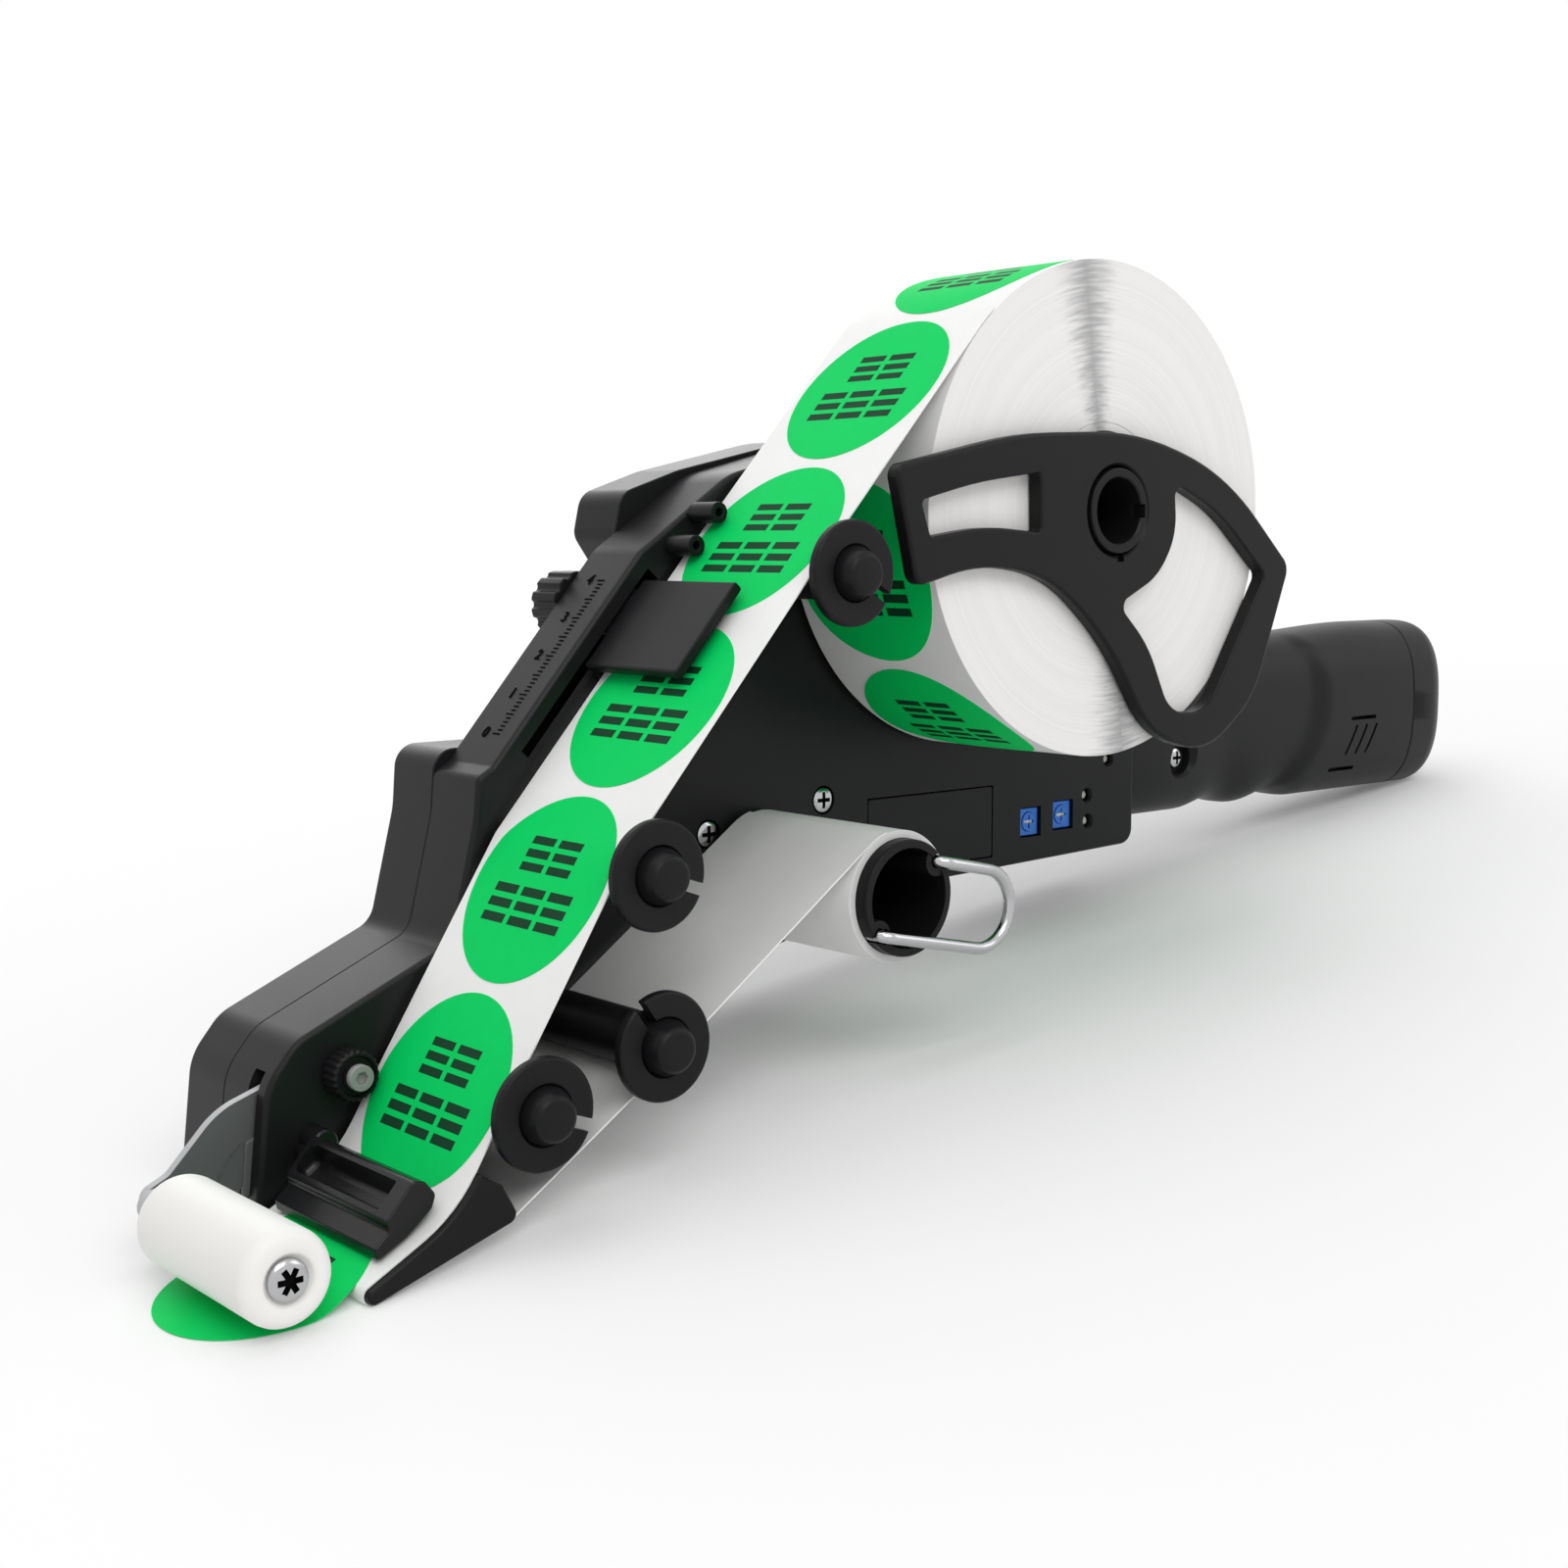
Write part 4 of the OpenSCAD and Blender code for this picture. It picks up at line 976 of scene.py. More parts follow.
def handle():
    count = round(GRIP_L / GRIP_STEP)
    low, high = GRIP_Z - GRIP_H / 2, GRIP_Z + GRIP_H / 2
    end = GRIP_X + GRIP_L
    rings = []
    for i in range(count + 1):
        d = GRIP_L * i / count
        rings.append(grip_ring(GRIP_X + d, low + finger_depth(d), high - top_dip(d), GRIP_W / 2, SLIM))
    cutters = [turned(HANDLE_SCREW_AT, HANDLE_RECESS)] + [box_cutter(at, SLOT_SIZE) for at in SLOTS]
    x, y, z = GROOVE_FROM
    cutters += [box_cutter((x + GROOVE_PITCH * k, y, z), GROOVE_SIZE, GROOVE_TURN) for k in range(GROOVES)]
    cutters += [along_grip(CELL_R, z, GRIP_X + CELL_FROM, end + 1) for z in CELL_ROWS]
    stand_in("handle_grip", finished(shaded(cut(loft(rings), cutters), CREASE), shell_plastic))

    seam = end + CAP_GAP
    rings = [grip_ring(seam, low + CAP_CHAMFER, high - CAP_CHAMFER, GRIP_W / 2 - CAP_CHAMFER)]
    rings.append(grip_ring(seam + CAP_CHAMFER, low, high, GRIP_W / 2))
    for i in range(CAP_STEPS + 1):
        a = radians(90 * i / CAP_STEPS)
        inward = CAP_ROUND * (1 - cos(a))
        x = end + CAP_L - CAP_ROUND + CAP_ROUND * sin(a)
        rings.append(grip_ring(x, low + inward, high - inward, GRIP_W / 2 - inward))
    plugs = [along_grip(CELL_R - CELL_GAP, z, end - 3, seam + 1) for z in CELL_ROWS]
    stand_in("handle_cap", finished(shaded(fused(loft(rings), *plugs), CAP_CREASE), shell_plastic))


# Repeats made with Geometry Nodes

def group_tree(name, **inputs):
    """A geometry tree with named inputs: its graph, and its incoming geometry."""
    tree = bpy.data.node_groups.new(name, "GeometryNodeTree")
    for label, kind in {"Geometry": "Geometry", **inputs}.items():
        tree.interface.new_socket(label, in_out="INPUT", socket_type="NodeSocket" + kind)
    tree.interface.new_socket("Geometry", in_out="OUTPUT", socket_type="NodeSocketGeometry")
    graph = Graph(tree)
    return graph, graph.node("NodeGroupInput", out="Geometry")


def made_real(graph, spots):
    """The tree, with its copies made real as its result."""
    real = graph.node("GeometryNodeRealizeInstances", {"Geometry": spots})
    graph.fill(graph.tree.nodes.new("NodeGroupOutput").inputs["Geometry"], real)
    return graph.tree


def scatter_tree():
    """A piece set on every point, turned by the point's own turn."""
    g, start = group_tree("piece_on_points", Piece="Object")
    piece = g.node("GeometryNodeObjectInfo", {"Object": start.beside("Piece")}, out="Geometry")
    spin = g.node("GeometryNodeInputNamedAttribute", {"Name": "turn"}, "Attribute", data_type="FLOAT_VECTOR")
    sockets = {"Points": start, "Instance": piece, "Rotation": spin}
    return made_real(g, g.node("GeometryNodeInstanceOnPoints", sockets))


LONG_EVERY = 5.0
LONG_EXTRA = 0.6


def tick_tree():
    """A row of ticks along X: every fifth one is longer."""
    sizes = dict.fromkeys(("Pitch", "Length", "Width", "Height"), "Float")
    g, start = group_tree("scale_ticks", Count="Int", **sizes)
    length = start.beside("Length")
    offset = g.vector(start.beside("Pitch"))
    line = g.node("GeometryNodeMeshLine", {"Count": start.beside("Count"), "Offset": offset})
    index = g.node("GeometryNodeInputIndex")
    is_long = index.sum("MODULO", index, LONG_EVERY) < 0.5
    size = g.vector(start.beside("Width"), length, start.beside("Height"))
    box = g.node("GeometryNodeMeshCube", {"Size": size})
    bar = g.node("GeometryNodeTransform", {"Geometry": box, "Translation": g.vector(0.0, 0.5 * length)})
    sockets = {"Points": line, "Instance": bar, "Scale": g.vector(1.0, 1.0 + LONG_EXTRA * is_long, 1.0)}
    return made_real(g, g.node("GeometryNodeInstanceOnPoints", sockets))


def grown(mesh, tree, **inputs):
    """The mesh that a tree makes from a mesh and named inputs."""
    names = {item.name: item.identifier for item in tree.interface.items_tree if item.in_out == "INPUT"}

    def grow(holder):
        modifier = holder.modifiers.new("grow", "NODES")
        modifier.node_group = tree
        for label, value in inputs.items():
            modifier[names[label]] = value

    return evaluated(mesh, grow)


SCATTER = scatter_tree()
TICKS = tick_tree()


def scattered(template, places):
    """A template mesh set at (place, turn) pairs of the row frame."""
    spots = mesh_of([place for place, _ in places], [])
    attribute = spots.attributes.new("turn", "FLOAT_VECTOR", "POINT")
    for item, (_, spin) in zip(attribute.data, places):
        item.vector = spin
    piece = linked("template", template)
    made = grown(spots, SCATTER, Piece=piece)
    bpy.data.objects.remove(piece)
    return made


# Screw heads: radius, height, depth of the recess, and blades of its cross or star
SHELL_SCREW = (SCREW_R, 1.6, 0.8, 2)
HANDLE_SCREW = (2.8, 1.8, 0.9, 2)
ROLLER_SCREW = (3.7, 1.5, 1.0, 3)
HEAD_PROFILE = ((0.96, 0.0), (1.0, 0.12), (1.0, 0.45), (0.9, 0.78), (0.7, 0.95), (0.4, 1.0))
HEAD_SIDES = 40
BLADE_LENGTH = 1.24
BLADE_WIDTH = 0.3
# Reach and top of the recess faces that are painted black as shade
PAINTED_SHADE_REACH = 0.66
PAINTED_SHADE_TOP = 0.25


def screw_head(radius, height, depth, blades):
    """A domed head with a recess of crossing blades, painted black deep inside as shade, its seat at the
    origin and its face along +Z.
    """
    radius, height, depth = (size / PER_METRE for size in (radius, height, depth))
    mesh = closed_skin([[(r * radius * cos(a), r * radius * sin(a), h * height) for a in turns(HEAD_SIDES)]
                        for r, h in HEAD_PROFILE])
    size = (BLADE_LENGTH * radius, BLADE_WIDTH * radius, 2 * depth)
    spins = [Matrix.Rotation(pi * blade / blades, 4, "Z") for blade in range(blades)]
    cutters = [mesh_of(box_points((0, 0, height), size, spin), BOX_FACES) for spin in spins]
    head = finished(shaded(cut(mesh, cutters), CAD_CREASE), chrome, mark_black)
    # Painted shade: the faces deep in the recess take the black finish
    for face in head.polygons:
        deep = face.center.z < height - PAINTED_SHADE_TOP * depth
        face.material_index = int(deep and face.center.xy.length < PAINTED_SHADE_REACH * radius)
    return head


def screws():
    def places(points, y, quarter):
        return [(row_point(x, y, z), Vector((radians(quarter), LEAN, 0.0))) for x, z in points]

    shell_places = places(SCREWS_NEAR, SEAT_NEAR, 90) + places(SCREWS_FAR, SEAT_FAR, -90)
    handle_place = places([HANDLE_SCREW_AT], HANDLE_SEAT, 90)
    roller_place = places([ROLLER_AT], ROLLER_SEAT, 90)
    rows = (("shell_screws", SHELL_SCREW, shell_places), ("handle_screw", HANDLE_SCREW, handle_place),
            ("roller_screw", ROLLER_SCREW, roller_place))
    for node, head, spots in rows:
        stand_in(node, shaded(scattered(screw_head(*head), spots), CAD_CREASE))


# Scale on the slanted top of the housing

SCALE_ZERO = 17.4
SCALE_STEP = 10.0
SCALE_LAST = 4
TICK_Y = 28.6
TICK_SIZE = {"Pitch": 1.0, "Length": 1.5, "Width": 0.28}
DIGIT_Y = 33.6
DIGIT_SIZE = 3.64
DIGIT_BOLD = 0.02
MARK_T = 0.12


def scale_frame(s, y):
    """Matrix of a place on the slanted scale: X along it, Y into the housing, Z out of it."""
    high, low = (Vector(corner[:2]) for corner in SCALE_EDGE)
    along = (high - low).normalized()
    out = Vector((-along.y, along.x))
    base = low + (s - (low - SCALE_FROM).dot(along)) * along
    rows = (along.x, 0, out.x, base.x), (0, 1, 0, y), (along.y, 0, out.y, base.y), (0, 0, 0, 1)
    return TO_ROW @ Matrix(rows)


def scale_marks():
    """Ticks and plain numbers along the scale, which show where the sensor stands."""
    ticks = grown(mesh_of([], []), TICKS, Count=10 * SCALE_LAST + 1, Height=2 * MARK_T, **TICK_SIZE)
    ticks.transform(scale_frame(SCALE_ZERO, TICK_Y))
    marks = [ticks]
    for number in range(SCALE_LAST + 1):
        curve = bpy.data.curves.new("digit", "FONT")
        curve.body = str(number)
        curve.size = DIGIT_SIZE
        curve.align_x = "CENTER"
        curve.align_y = "CENTER"
        curve.extrude = 1.5 * MARK_T
        curve.offset = DIGIT_BOLD
        digit = evaluated(curve)
        digit.transform(Matrix.Rotation(radians(-90), 4, "Z"))
        digit.transform(scale_frame(SCALE_ZERO + SCALE_STEP * number, DIGIT_Y))
        marks.append(digit)
    put("scale_marks", finished(joined(marks), mark_black), "frame")


# Housing pieces that keep their CAD shape, with softened edges and a finish

ROTOR_DEEP = 0.0003
ROTOR_WHITE_R = 0.002
LAMP_SIDES = 32


def rotor(node):
    """A trimmer's rotor: a blue rim and a white face."""
    low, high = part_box(node)
    axis = (low + high) / 2

    def is_white(face):
        across = hypot(face.center.x - axis.x, face.center.z - axis.z)
        return face.center.y > low.y + ROTOR_DEEP and across < ROTOR_WHITE_R

    paint_faces(dress(node, trimmer_blue, 0.0), rotor_white, is_white)


def housing():
    shells()
    dress("access_hatch", shell_plastic, 0.2)
    dress("trimmer_cases", trimmer_blue)
    rotor("trimmer_rotor_1")
    rotor("trimmer_rotor_2")
    lamps = [soft_pin(at, LAMP_R - LAMP_GAP, *LAMP_Y, LAMP_DOME, LAMP_SIDES) for at in LAMPS]
    show("status_leds", joined(lamps), lamp_clear, SOFT_CREASE)
    dress("power_button", black_plastic, 0.4, 3)
    dress("feed_switch", black_plastic, 0.3)
    dress("control_board", board_green, 0.1)
    dress("battery_cells", trimmer_blue, 0.4)
    dress("drive_motor", steel, 0.4)
    dress("motor_pinion", steel, 0.1)
    dress("spool_gear", gear_nylon, 0.1)


# Supply roll's retainer and spindle

RETAINER_Y = (-25.6, -22.2)
RETAINER_ROUND = (0.9, 0.4)
RETAINER_EDGE = ((68, 79.5, 2.5), (74, 55.5, 3), (92, 60, 48), (113, 57.5, 37), (132, 43, 70),
                 (147, 21.5, 24), (167, 16.5, 18), (184, 28, 24), (196.5, 59, 4), (172, 80, 69),
                 (141, 88.6, 90), (104, 87, 120))
LEFT_WINDOW = ((75.2, 72.8, 1.2), (77.8, 65.6, 1.2), (94, 67.8, 60), (110, 66.6, 1), (109.6, 79, 1),
               (91, 76.6, 120))
RIGHT_WINDOW = ((153.5, 77.5, 2), (154.6, 66, 16), (148.5, 57, 16), (135.5, 51, 2), (145.5, 42, 30),
                (153.5, 26.4, 9), (166.5, 26, 10), (187, 57, 2), (169, 71.5, 70))
WINDOW_LIP = 0.6
HUB_R = 16.0
HUB_NOTCH = (2.2, 2.4, 2.4)
RETAINER_BORE = 9.8
BORE_LIP = 0.5
SPINDLE_RING = 9.2
SPINDLE_ROUND = 0.35
SPINDLE_BORE = 7.2
SPINDLE_BODY = 17.1
SPINDLE_END = -26.0
SPINDLE_KEY = (1.6, 4.0, 3.0)
KEY_OUT = 0.4


def retainer():
    """Three-armed plate over the roll: soft outer edges, two windows, and a notch in its bore."""
    near, far = RETAINER_Y
    body = plate(outline(RETAINER_EDGE), near, far, *RETAINER_ROUND)
    hub = soft_pin(ROLL_AT, HUB_R, near, far, RETAINER_ROUND[0])
    windows = [flared(outline(edge), near, WINDOW_LIP, far + 1) for edge in (LEFT_WINDOW, RIGHT_WINDOW)]
    wide = RETAINER_BORE + BORE_LIP
    stations = ((wide, near - 1), (wide, near), (RETAINER_BORE, near + BORE_LIP), (RETAINER_BORE, far + 1))
    bore = turned(ROLL_AT, stations, FINE_SIDES)
    notch = box_cutter((ROLL_AT[0] + 1, near, ROLL_AT[1] - RETAINER_BORE), HUB_NOTCH)
    show("retainer", cut(fused(body, hub), windows + [bore, notch]), black_plastic)


def roll_spindle():
    """Hollow spindle: a wide body in the core, and an end ring with a keyway in the retainer's bore."""
    half = LABEL_WEB_W / 2
    ring = turned_corner(SPINDLE_RING, SPINDLE_END, 1, SPINDLE_ROUND) + [(SPINDLE_RING, -half)]
    body = turned(ROLL_AT, ring + [(SPINDLE_BODY, -half), (SPINDLE_BODY, NEAR_Y)], FINE_SIDES)
    mouth = ((SPINDLE_BORE + 1, SPINDLE_END - 0.7), (SPINDLE_BORE, SPINDLE_END + 0.3))
    bore = turned(ROLL_AT, (*mouth, (SPINDLE_BORE, NEAR_Y - 4)), FINE_SIDES)
    key = box_cutter((ROLL_AT[0] + SPINDLE_BORE + KEY_OUT, SPINDLE_END + 1, ROLL_AT[1]), SPINDLE_KEY)
    show("roll_spindle", cut(body, [bore, key]), black_plastic)


# Take-up spool

SPOOL_R = 12.0
SPOOL_ROUND = 0.4
SPOOL_INNER = 10.3
SPOOL_Y = (-24.6, 22.6)
SPOOL_FLOOR = 12.0
SPOOL_SHAFT = 4.0
CLIP_LEGS = (40.0, 220.0)
CLIP_RING = 10.55
CLIP_GROOVE = 1.6
CLIP_TURN = -12.0
CLIP_BEND = 1.6
CLIP_DEPTH = 3.4
LOBE_R = 3.1
LOBE_BACK = 0.3


def takeup_spool():
    """Thin tube for the waste liner, with two inner lobes that the clip's legs enter."""
    near, far = SPOOL_Y
    body = soft_pin(SPOOL_AT, SPOOL_R, near, far, SPOOL_ROUND)
    legs = [Vector(SPOOL_AT) + CLIP_RING * direction(a) for a in CLIP_LEGS]
    lobes = [pin(leg, LOBE_R, near + LOBE_BACK, SPOOL_FLOOR + 1) for leg in legs]
    tools = [cut(pin(SPOOL_AT, SPOOL_INNER, near - 1, SPOOL_FLOOR, FINE_SIDES), lobes)]
    for leg in legs:
        tools.append(pin(leg, CLIP_GROOVE, near - 1, SPOOL_FLOOR))
        tools.append(pin(leg + CLIP_BEND * direction(CLIP_TURN), CLIP_GROOVE, near - 2, near + CLIP_DEPTH))
    shaft = pin(SPOOL_AT, SPOOL_SHAFT, far - 1, FAR_Y - WALL - 1)
    show("takeup_spool", fused(cut(body, tools), shaft), black_plastic)


# Guide rollers and their flanges

GUIDES = (SUPPLY_WHEELS[1][0], SUPPLY_WHEELS[2][0], (10.4, -27.5), SUPPLY_WHEELS[3][0])
GUIDE_R = 5.3
GUIDE_GAP = 0.3
DOME_Y = -30.0
DOME_R = 4.5
DOME_ROUND = 1.5
DOME_RISE = 0.12
FLANGE_Y = -26.0
FLANGE_R = 10.4
FLANGE_T = 2.2
FLANGE_ROUND = (0.7, 0.5)
FLANGE_COLLAR = 1.4
FLANGE_FIT = 0.06
FLANGE_NOTCH = 2.4
FLANGE_NOTCHES = (-30.0, -20.0, 125.0, -20.0)


def guide_roller(letter, at):
    """Black roller whose end stands past its flange as a soft dome."""
    edge = DOME_Y + DOME_RISE
    stations = [(1.0, DOME_Y), (2.0, edge)] + turned_corner(DOME_R, edge, 1, DOME_ROUND)
    stations += [(GUIDE_R, FLANGE_Y - 0.4), (GUIDE_R, NEAR_Y - GUIDE_GAP)]
    show(f"guide_roller_{letter}", turned(at, stations), black_plastic, SOFT_CREASE)


def flange(letter, at, notch):
    """Snap flange: a disc with soft edges and a collar behind it, open at a notch."""
    back = FLANGE_Y + FLANGE_T
    disc = turned_corner(FLANGE_R, FLANGE_Y, 1, FLANGE_ROUND[0])
    disc += turned_corner(FLANGE_R, back, -1, FLANGE_ROUND[1])[::-1]
    collar = pin(at, GUIDE_R + 2, FLANGE_Y + 1, back + FLANGE_COLLAR)
    fit = GUIDE_R + FLANGE_FIT
    mouth = ((GUIDE_R + 0.7, FLANGE_Y - 1), (GUIDE_R + 0.5, FLANGE_Y))
    bore = turned(at, (*mouth, (fit, FLANGE_Y + 0.5), (fit, back + 2)))
    reach = FLANGE_R + 1
    middle = Vector(at) + 0.5 * reach * direction(notch)
    gap = box_cutter((middle.x, FLANGE_Y + 2, middle.y), (reach, 8, FLANGE_NOTCH), notch)
    show(f"flange_{letter}", cut(fused(turned(at, disc, FINE_SIDES), collar), [bore, gap]), black_plastic)


SIDEWAYS = 0.5
WIRE_CREASE = 60.0
WEB_CREASE = 30.0


def on_both_sides(face):
    return abs(face.normal.y) > SIDEWAYS


def rolling_gear():
    for letter, at in zip("abcd", GUIDES):
        guide_roller(letter, at)
    for letter, at, notch in zip("abcd", GUIDES, FLANGE_NOTCHES):
        flange(letter, at, notch)
    dress("guide_axles", steel, 0.1)
    dress("keeper_pegs", black_plastic)
    roll_spindle()
    paint_faces(dress("roll_core", card, 0.2), roll_side_painted_sheen, lambda face: face.normal.y < -SIDEWAYS)
    paint_faces(dress("label_roll", liner, 0.2), roll_side_painted_sheen, on_both_sides)
    retainer()
    takeup_spool()
    paint_faces(dress("waste_roll", liner, 0.15), waste_side, on_both_sides)
    dress("spool_clip", chrome, 0.0, angle=WIRE_CREASE)


def web():
    dress("label_web", liner, 0.0, angle=WEB_CREASE)
    dress("waste_liner", liner, 0.0, angle=WEB_CREASE)


# Press bar: corners on the platen as u, v and radius

PRESS_Y = (-18.6, 22.9)
PRESS_HINGE = 18.2
PRESS_SECTION = ((4.6, 0.95, 0.5), (11.6, 0.95, 6), (17.6, 2.1, 2.5), (19.5, 3.9, 1.4), (18.9, 7.1, 1.4),
                 (17.1, 8.9, 1.2), (9.4, 5.9, 1.4), (9.0, 4.1, 1.0), (5.2, 3.1, 0.7))
PRESS_TROUGH = ((10.9, 3.6, 1.7), (15.4, 4.2, 1.7), (16.4, 12, 0), (9.9, 12, 0))
PRESS_TROUGH_Y = (-14.2, 16.4)
PRESS_TONGUE = ((12.4, 2.2, 1.0), (17.4, 2.6, 1.6), (19.4, 4.2, 1.2), (18.8, 7.0, 1.2), (14.6, 6.4, 1.6))
PRESS_PIN = (18.5, 6.0)
KNUCKLE = ((2.2, PRESS_HINGE - 1), (2.6, PRESS_HINGE - 0.6), (2.6, PRESS_Y[1]))


def platen_plate(corners, y, near_round, far_round):
    points = outline([(*on_platen(u, v), radius) for u, v, radius in corners])
    return plate(points, *y, near_round, far_round)


def press_bar():
    """Hold-down bar over the platen: a rounded body with a trough along its top and a lower hinge tongue."""
    body = platen_plate(PRESS_SECTION, (PRESS_Y[0], PRESS_HINGE), 0.45, 0.45)
    tongue = platen_plate(PRESS_TONGUE, (PRESS_HINGE - 2, PRESS_Y[1]), 0.3, 0.3)
    knuckle = turned(on_platen(*PRESS_PIN), KNUCKLE)
    trough = platen_plate(PRESS_TROUGH, PRESS_TROUGH_Y, 0.4, 1.6)
    show("press_bar", cut(fused(body, tongue, knuckle), [trough]), gloss_plastic)


# Edge wheel: stations as y, radius and depth of the knurl

EDGE_AT = (-29.1, -34.9)
EDGE_NEAR = 17.6
EDGE_KNURLS = 22
KNURL_SIDES = 8
EDGE_STATIONS = ((17.6, 4.3, 0.0), (17.8, 4.6, 0.1), (18.3, 5.0, 0.4), (22.0, 5.0, 0.4), (22.7, 4.3, 0.0))
DISH_OUTER = ((3.9, 16.6), (3.9, 17.6), (3.6, 18.1))
DISH_INNER = 2.9


def edge_wheel():
    """Knurled wheel beside the web, with a dished face."""
    spokes = turns(EDGE_KNURLS * KNURL_SIDES)
    rings = []
    for y, radius, wave in EDGE_STATIONS:
        reach = [radius - wave / 2 * (1 - cos(EDGE_KNURLS * a)) for a in spokes]
        rings.append([(EDGE_AT[0] + r * cos(a), y, EDGE_AT[1] + r * sin(a)) for r, a in zip(reach, spokes)])
    dish = cut(turned(EDGE_AT, DISH_OUTER), [pin(EDGE_AT, DISH_INNER, EDGE_NEAR - 2, EDGE_NEAR + 2)])
    show("edge_wheel", cut(loft(rings), [dish]), black_plastic, SOFT_CREASE)


# Applicator roller, with its screw's dish as radius and depth, and the arm that carries it

ROLLER_DISH = ((2.3, 1.3), (3.8, 1.3), (4.25, 0.9), (4.5, 0.3), (4.9, 0.0))
ROLLER_SHOULDER = 2.6
ROLLER_CREASE = 50.0
ARM_Y = 27.6
ARM_T = 2.0
ARM_ROUND = 0.3
ARM_BOSS = (3.2, ROLLER_Y[1] + 0.3, ARM_Y + 0.5)
ARM_FLAT = 0.9
ARM_EDGE = ((-30.5, -38, 4), (-41, -35.6, 8), (-52.6, -39.4, 16), (-62.4, -49.6, 4), (-67.2, -51.8, 3),
            (-68, -57, 3), (-60, -58.2, 5), (-45, -54, 8), (-30, -47, 5))
ARM_GUSSET = ((-44.6, -45.2, 0.6), (-47.6, -46.2, 0.8), (-48.4, -56.4, 0.8), (-45.6, -56.8, 0.6))
ARM_RIB = ((-47.9, -45.5), (-50.0, -47.4), (-51.7, -49.6), (-53.2, -52.6))
RIB_WIDTH = Vector((-0.35, -0.35))
RIB_SUNK = ARM_Y + 0.2


def applicator_roller():
    """Soft white roller with round shoulders and a shallow dish for its screw."""
    near, far = ROLLER_Y
    stations = [(radius, near + depth) for radius, depth in ROLLER_DISH]
    stations += turned_corner(ROLLER_R, near, 1, ROLLER_SHOULDER)
    stations += turned_corner(ROLLER_R, far, -1, ROLLER_SHOULDER)[::-1]
    show("applicator_roller", turned(ROLLER_AT, stations, FINE_SIDES), roller_white, ROLLER_CREASE)


def roller_arm():
    """Sector arm with its edges painted pale as a highlight, and a gusset and a curved rib on its face."""
    sector = plate(outline(ARM_EDGE), ARM_Y, ARM_Y + ARM_T, ARM_ROUND, ARM_ROUND)
    arm = show("roller_arm", fused(sector, pin(ROLLER_AT, *ARM_BOSS)), arm_paint)
    # Painted highlight: the arm's edge faces take the paler grey
    paint_faces(arm, arm_edge_painted_highlight, lambda face: abs(face.normal.y) < ARM_FLAT)
    gusset = plate(outline(ARM_GUSSET), ARM_Y - 0.75, RIB_SUNK, ARM_ROUND, 0.0)
    line = [Vector(q) for q in ARM_RIB]
    rib = plate(line + [q + RIB_WIDTH for q in line[::-1]], ARM_Y - 0.4, RIB_SUNK, 0.1, 0.0)
    detail = finished(weighted(joined([gusset, rib])), arm_paint)
    put("roller_arm_ribs", detail, BODY_OF["roller_arm"])


# Gap sensor

SENSOR_S = (38.5, 61.5)
SENSOR_V = (-4.6, 4.4)
SENSOR_Y = (-7.0, 22.9)
JAW_T = 2.4
JAW_ROUND = 0.4
BRIDGE_S = (SENSOR_S[0] + 0.1, SENSOR_S[1] - 0.1)
BRIDGE_V = (SENSOR_V[0] + 0.5, SENSOR_V[1] - 0.5)
BRIDGE_Y = (SENSOR_Y[1] - 1.0, SENSOR_Y[1] - 0.1)
STEM_S = (47.0, 59.0)
STEM_V = (1.7, 4.3)
STEM_Y = (SENSOR_Y[1] - 0.5, 28.6)
STEM_ROUND = 0.2
SLAB_STEP = 15.0
SLIVER = 1e-6


def slab(s, v, y, rounded):
    """A slab along the slanted scale with soft edges."""
    corners = [(*on_scale(s_end, v_end), rounded + 0.3) for s_end, v_end in rectangle(s[0], v[0], s[1], v[1])]
    return plate(outline(corners, SLAB_STEP), *y, rounded, rounded)


def mend_slivers(work):
    merge_points(work, SLIVER)
    bmesh.ops.dissolve_degenerate(work, edges=work.edges, dist=SLIVER)


def sensor_head():
    """Gap sensor: two jaws round the web, joined at the housing, on a stem in the housing's slot."""
    low, high = SENSOR_V
    jaws = [slab(SENSOR_S, v, SENSOR_Y, JAW_ROUND) for v in ((high - JAW_T, high), (low, low + JAW_T))]
    stem = slab(STEM_S, STEM_V, STEM_Y, STEM_ROUND)
    body = fused(slab(BRIDGE_S, BRIDGE_V, BRIDGE_Y, STEM_ROUND), *jaws, stem)
    show("sensor_head", reworked(body, mend_slivers), black_plastic)


def front():
    dress("peel_platen", black_plastic, 0.55, 3)
    press_bar()
    dress("press_pin", steel, 0.2)
    edge_wheel()
    dress("edge_wheel_screw", zinc_grey, 0.15)
    roller_arm()
    dress("arm_pivot", steel, 0.2)
    dress("arm_spring", steel, 0.2)
    applicator_roller()
    sensor_head()
    dress("sensor_knob", black_plastic, 0.3)


# Stage

WHITE = (1.0, 1.0, 1.0)
FLOOR_HALF = 6.0
FLOOR_FADE = (0.12, 0.46)
AMBIENT = 0.5
LIT_POINT = Vector((0.0, 0.0, 0.08))
# Soft lights: place, size and power in watts
LIGHTS = {
    "top_window": ((-0.15, 0.2, 1.1), (1.3, 0.9), 4.2),
    "front_fill": ((-0.3, -0.9, 0.95), (0.9, 0.6), 6.0),
    "right_side": ((0.8, -0.75, 0.5), (0.6, 0.6), 1.2),
    "back_fill": ((0.5, 1.1, 0.5), (1.2, 0.6), 3.6),
}


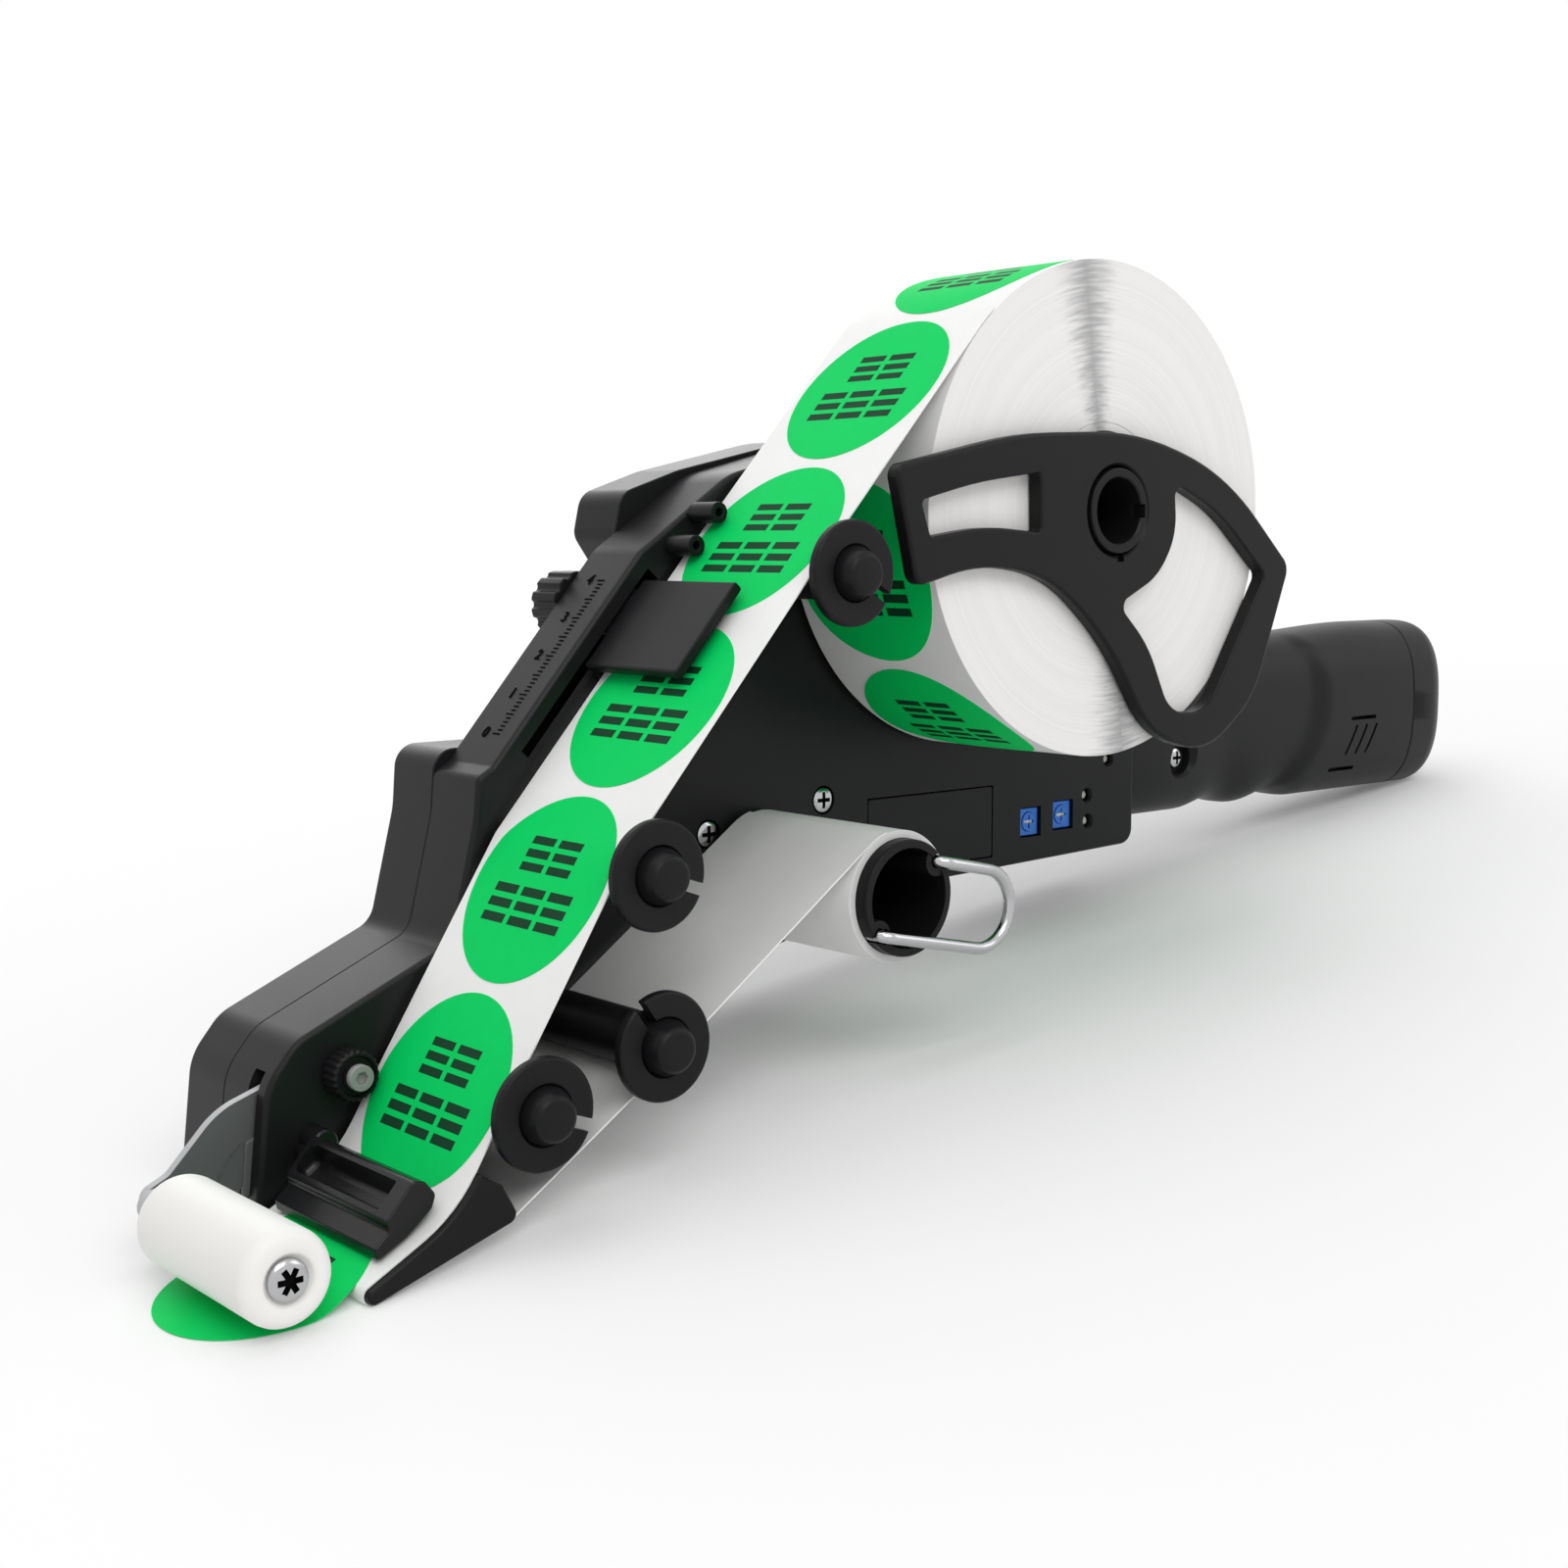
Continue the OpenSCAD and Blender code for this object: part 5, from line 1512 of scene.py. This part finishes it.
def camera():
    data = bpy.data.cameras.new("camera")
    data.sensor_fit = "HORIZONTAL"
    data.sensor_width = SENSOR_MM
    data.lens = SENSOR_MM * FOCAL_PIXELS / PICTURE
    data.clip_start, data.clip_end = CLIP_M
    turn_only = TO_ROW.to_euler().to_matrix()
    forward = (turn_only @ Vector(CAMERA_FORWARD)).normalized()
    right = turn_only @ Vector(CAMERA_RIGHT)
    right = (right - right.dot(forward) * forward).normalized()
    spin = Matrix((right, right.cross(forward), -forward)).transposed().to_4x4()
    eye = linked("camera", data)
    eye.matrix_world = Matrix.Translation(row_point(*CAMERA_AT)) @ spin
    bpy.context.scene.camera = eye


def floor():
    """Pale floor that takes shadows near the machine and fades to plain white around it."""
    f = Finish("floor_pale")
    distance = f.node("ShaderNodeVectorMath", {0: f.object_place()}, out=1, operation="LENGTH")
    fade = f.soft_range(distance, *FLOOR_FADE)
    f.surface(Base_Color=(0.93, 0.93, 0.93, 1.0), Roughness=0.7, Specular_IOR_Level=0.1)
    glow = f.node("ShaderNodeEmission", {"Color": opaque(WHITE), "Strength": 1.0})
    sockets = {0: fade * f.seen(), 1: Value(f, f.shader.outputs[0]), 2: glow}
    mixed = f.node("ShaderNodeMixShader", sockets)
    f.fill(f.tree.nodes["Material Output"].inputs["Surface"], mixed)
    corners = [(x * FLOOR_HALF, y * FLOOR_HALF, 0) for x, y in rectangle(-1, -1, 1, 1)]
    plane = linked("floor", finished(mesh_of(corners, [[0, 1, 2, 3]]), f.material))


def world():
    """White to rays that show a picture, and softer as a light."""
    made = bpy.data.worlds.new("studio")
    made.use_nodes = True
    g = Graph(made.node_tree)
    background = g.tree.nodes["Background"].inputs
    level = g.node("ShaderNodeMapRange", {"Value": g.seen(), "To Min": AMBIENT, "To Max": 1.0})
    g.fill(background["Strength"], level)
    g.fill(background["Color"], opaque(WHITE))
    bpy.context.scene.world = made


def lights():
    for name, (at, size, watts) in LIGHTS.items():
        data = bpy.data.lights.new(name, "AREA")
        data.shape = "RECTANGLE"
        data.size, data.size_y = size
        data.energy = watts
        lamp = linked(name, data)
        lamp.location = at
        lamp.rotation_euler = (LIT_POINT - Vector(at)).to_track_quat("-Z", "Y").to_euler()


bpy.context.scene.view_settings.view_transform = "Standard"
camera()
floor()
world()
lights()
housing()
handle()
screws()
scale_marks()
rolling_gear()
web()
labels()
front()
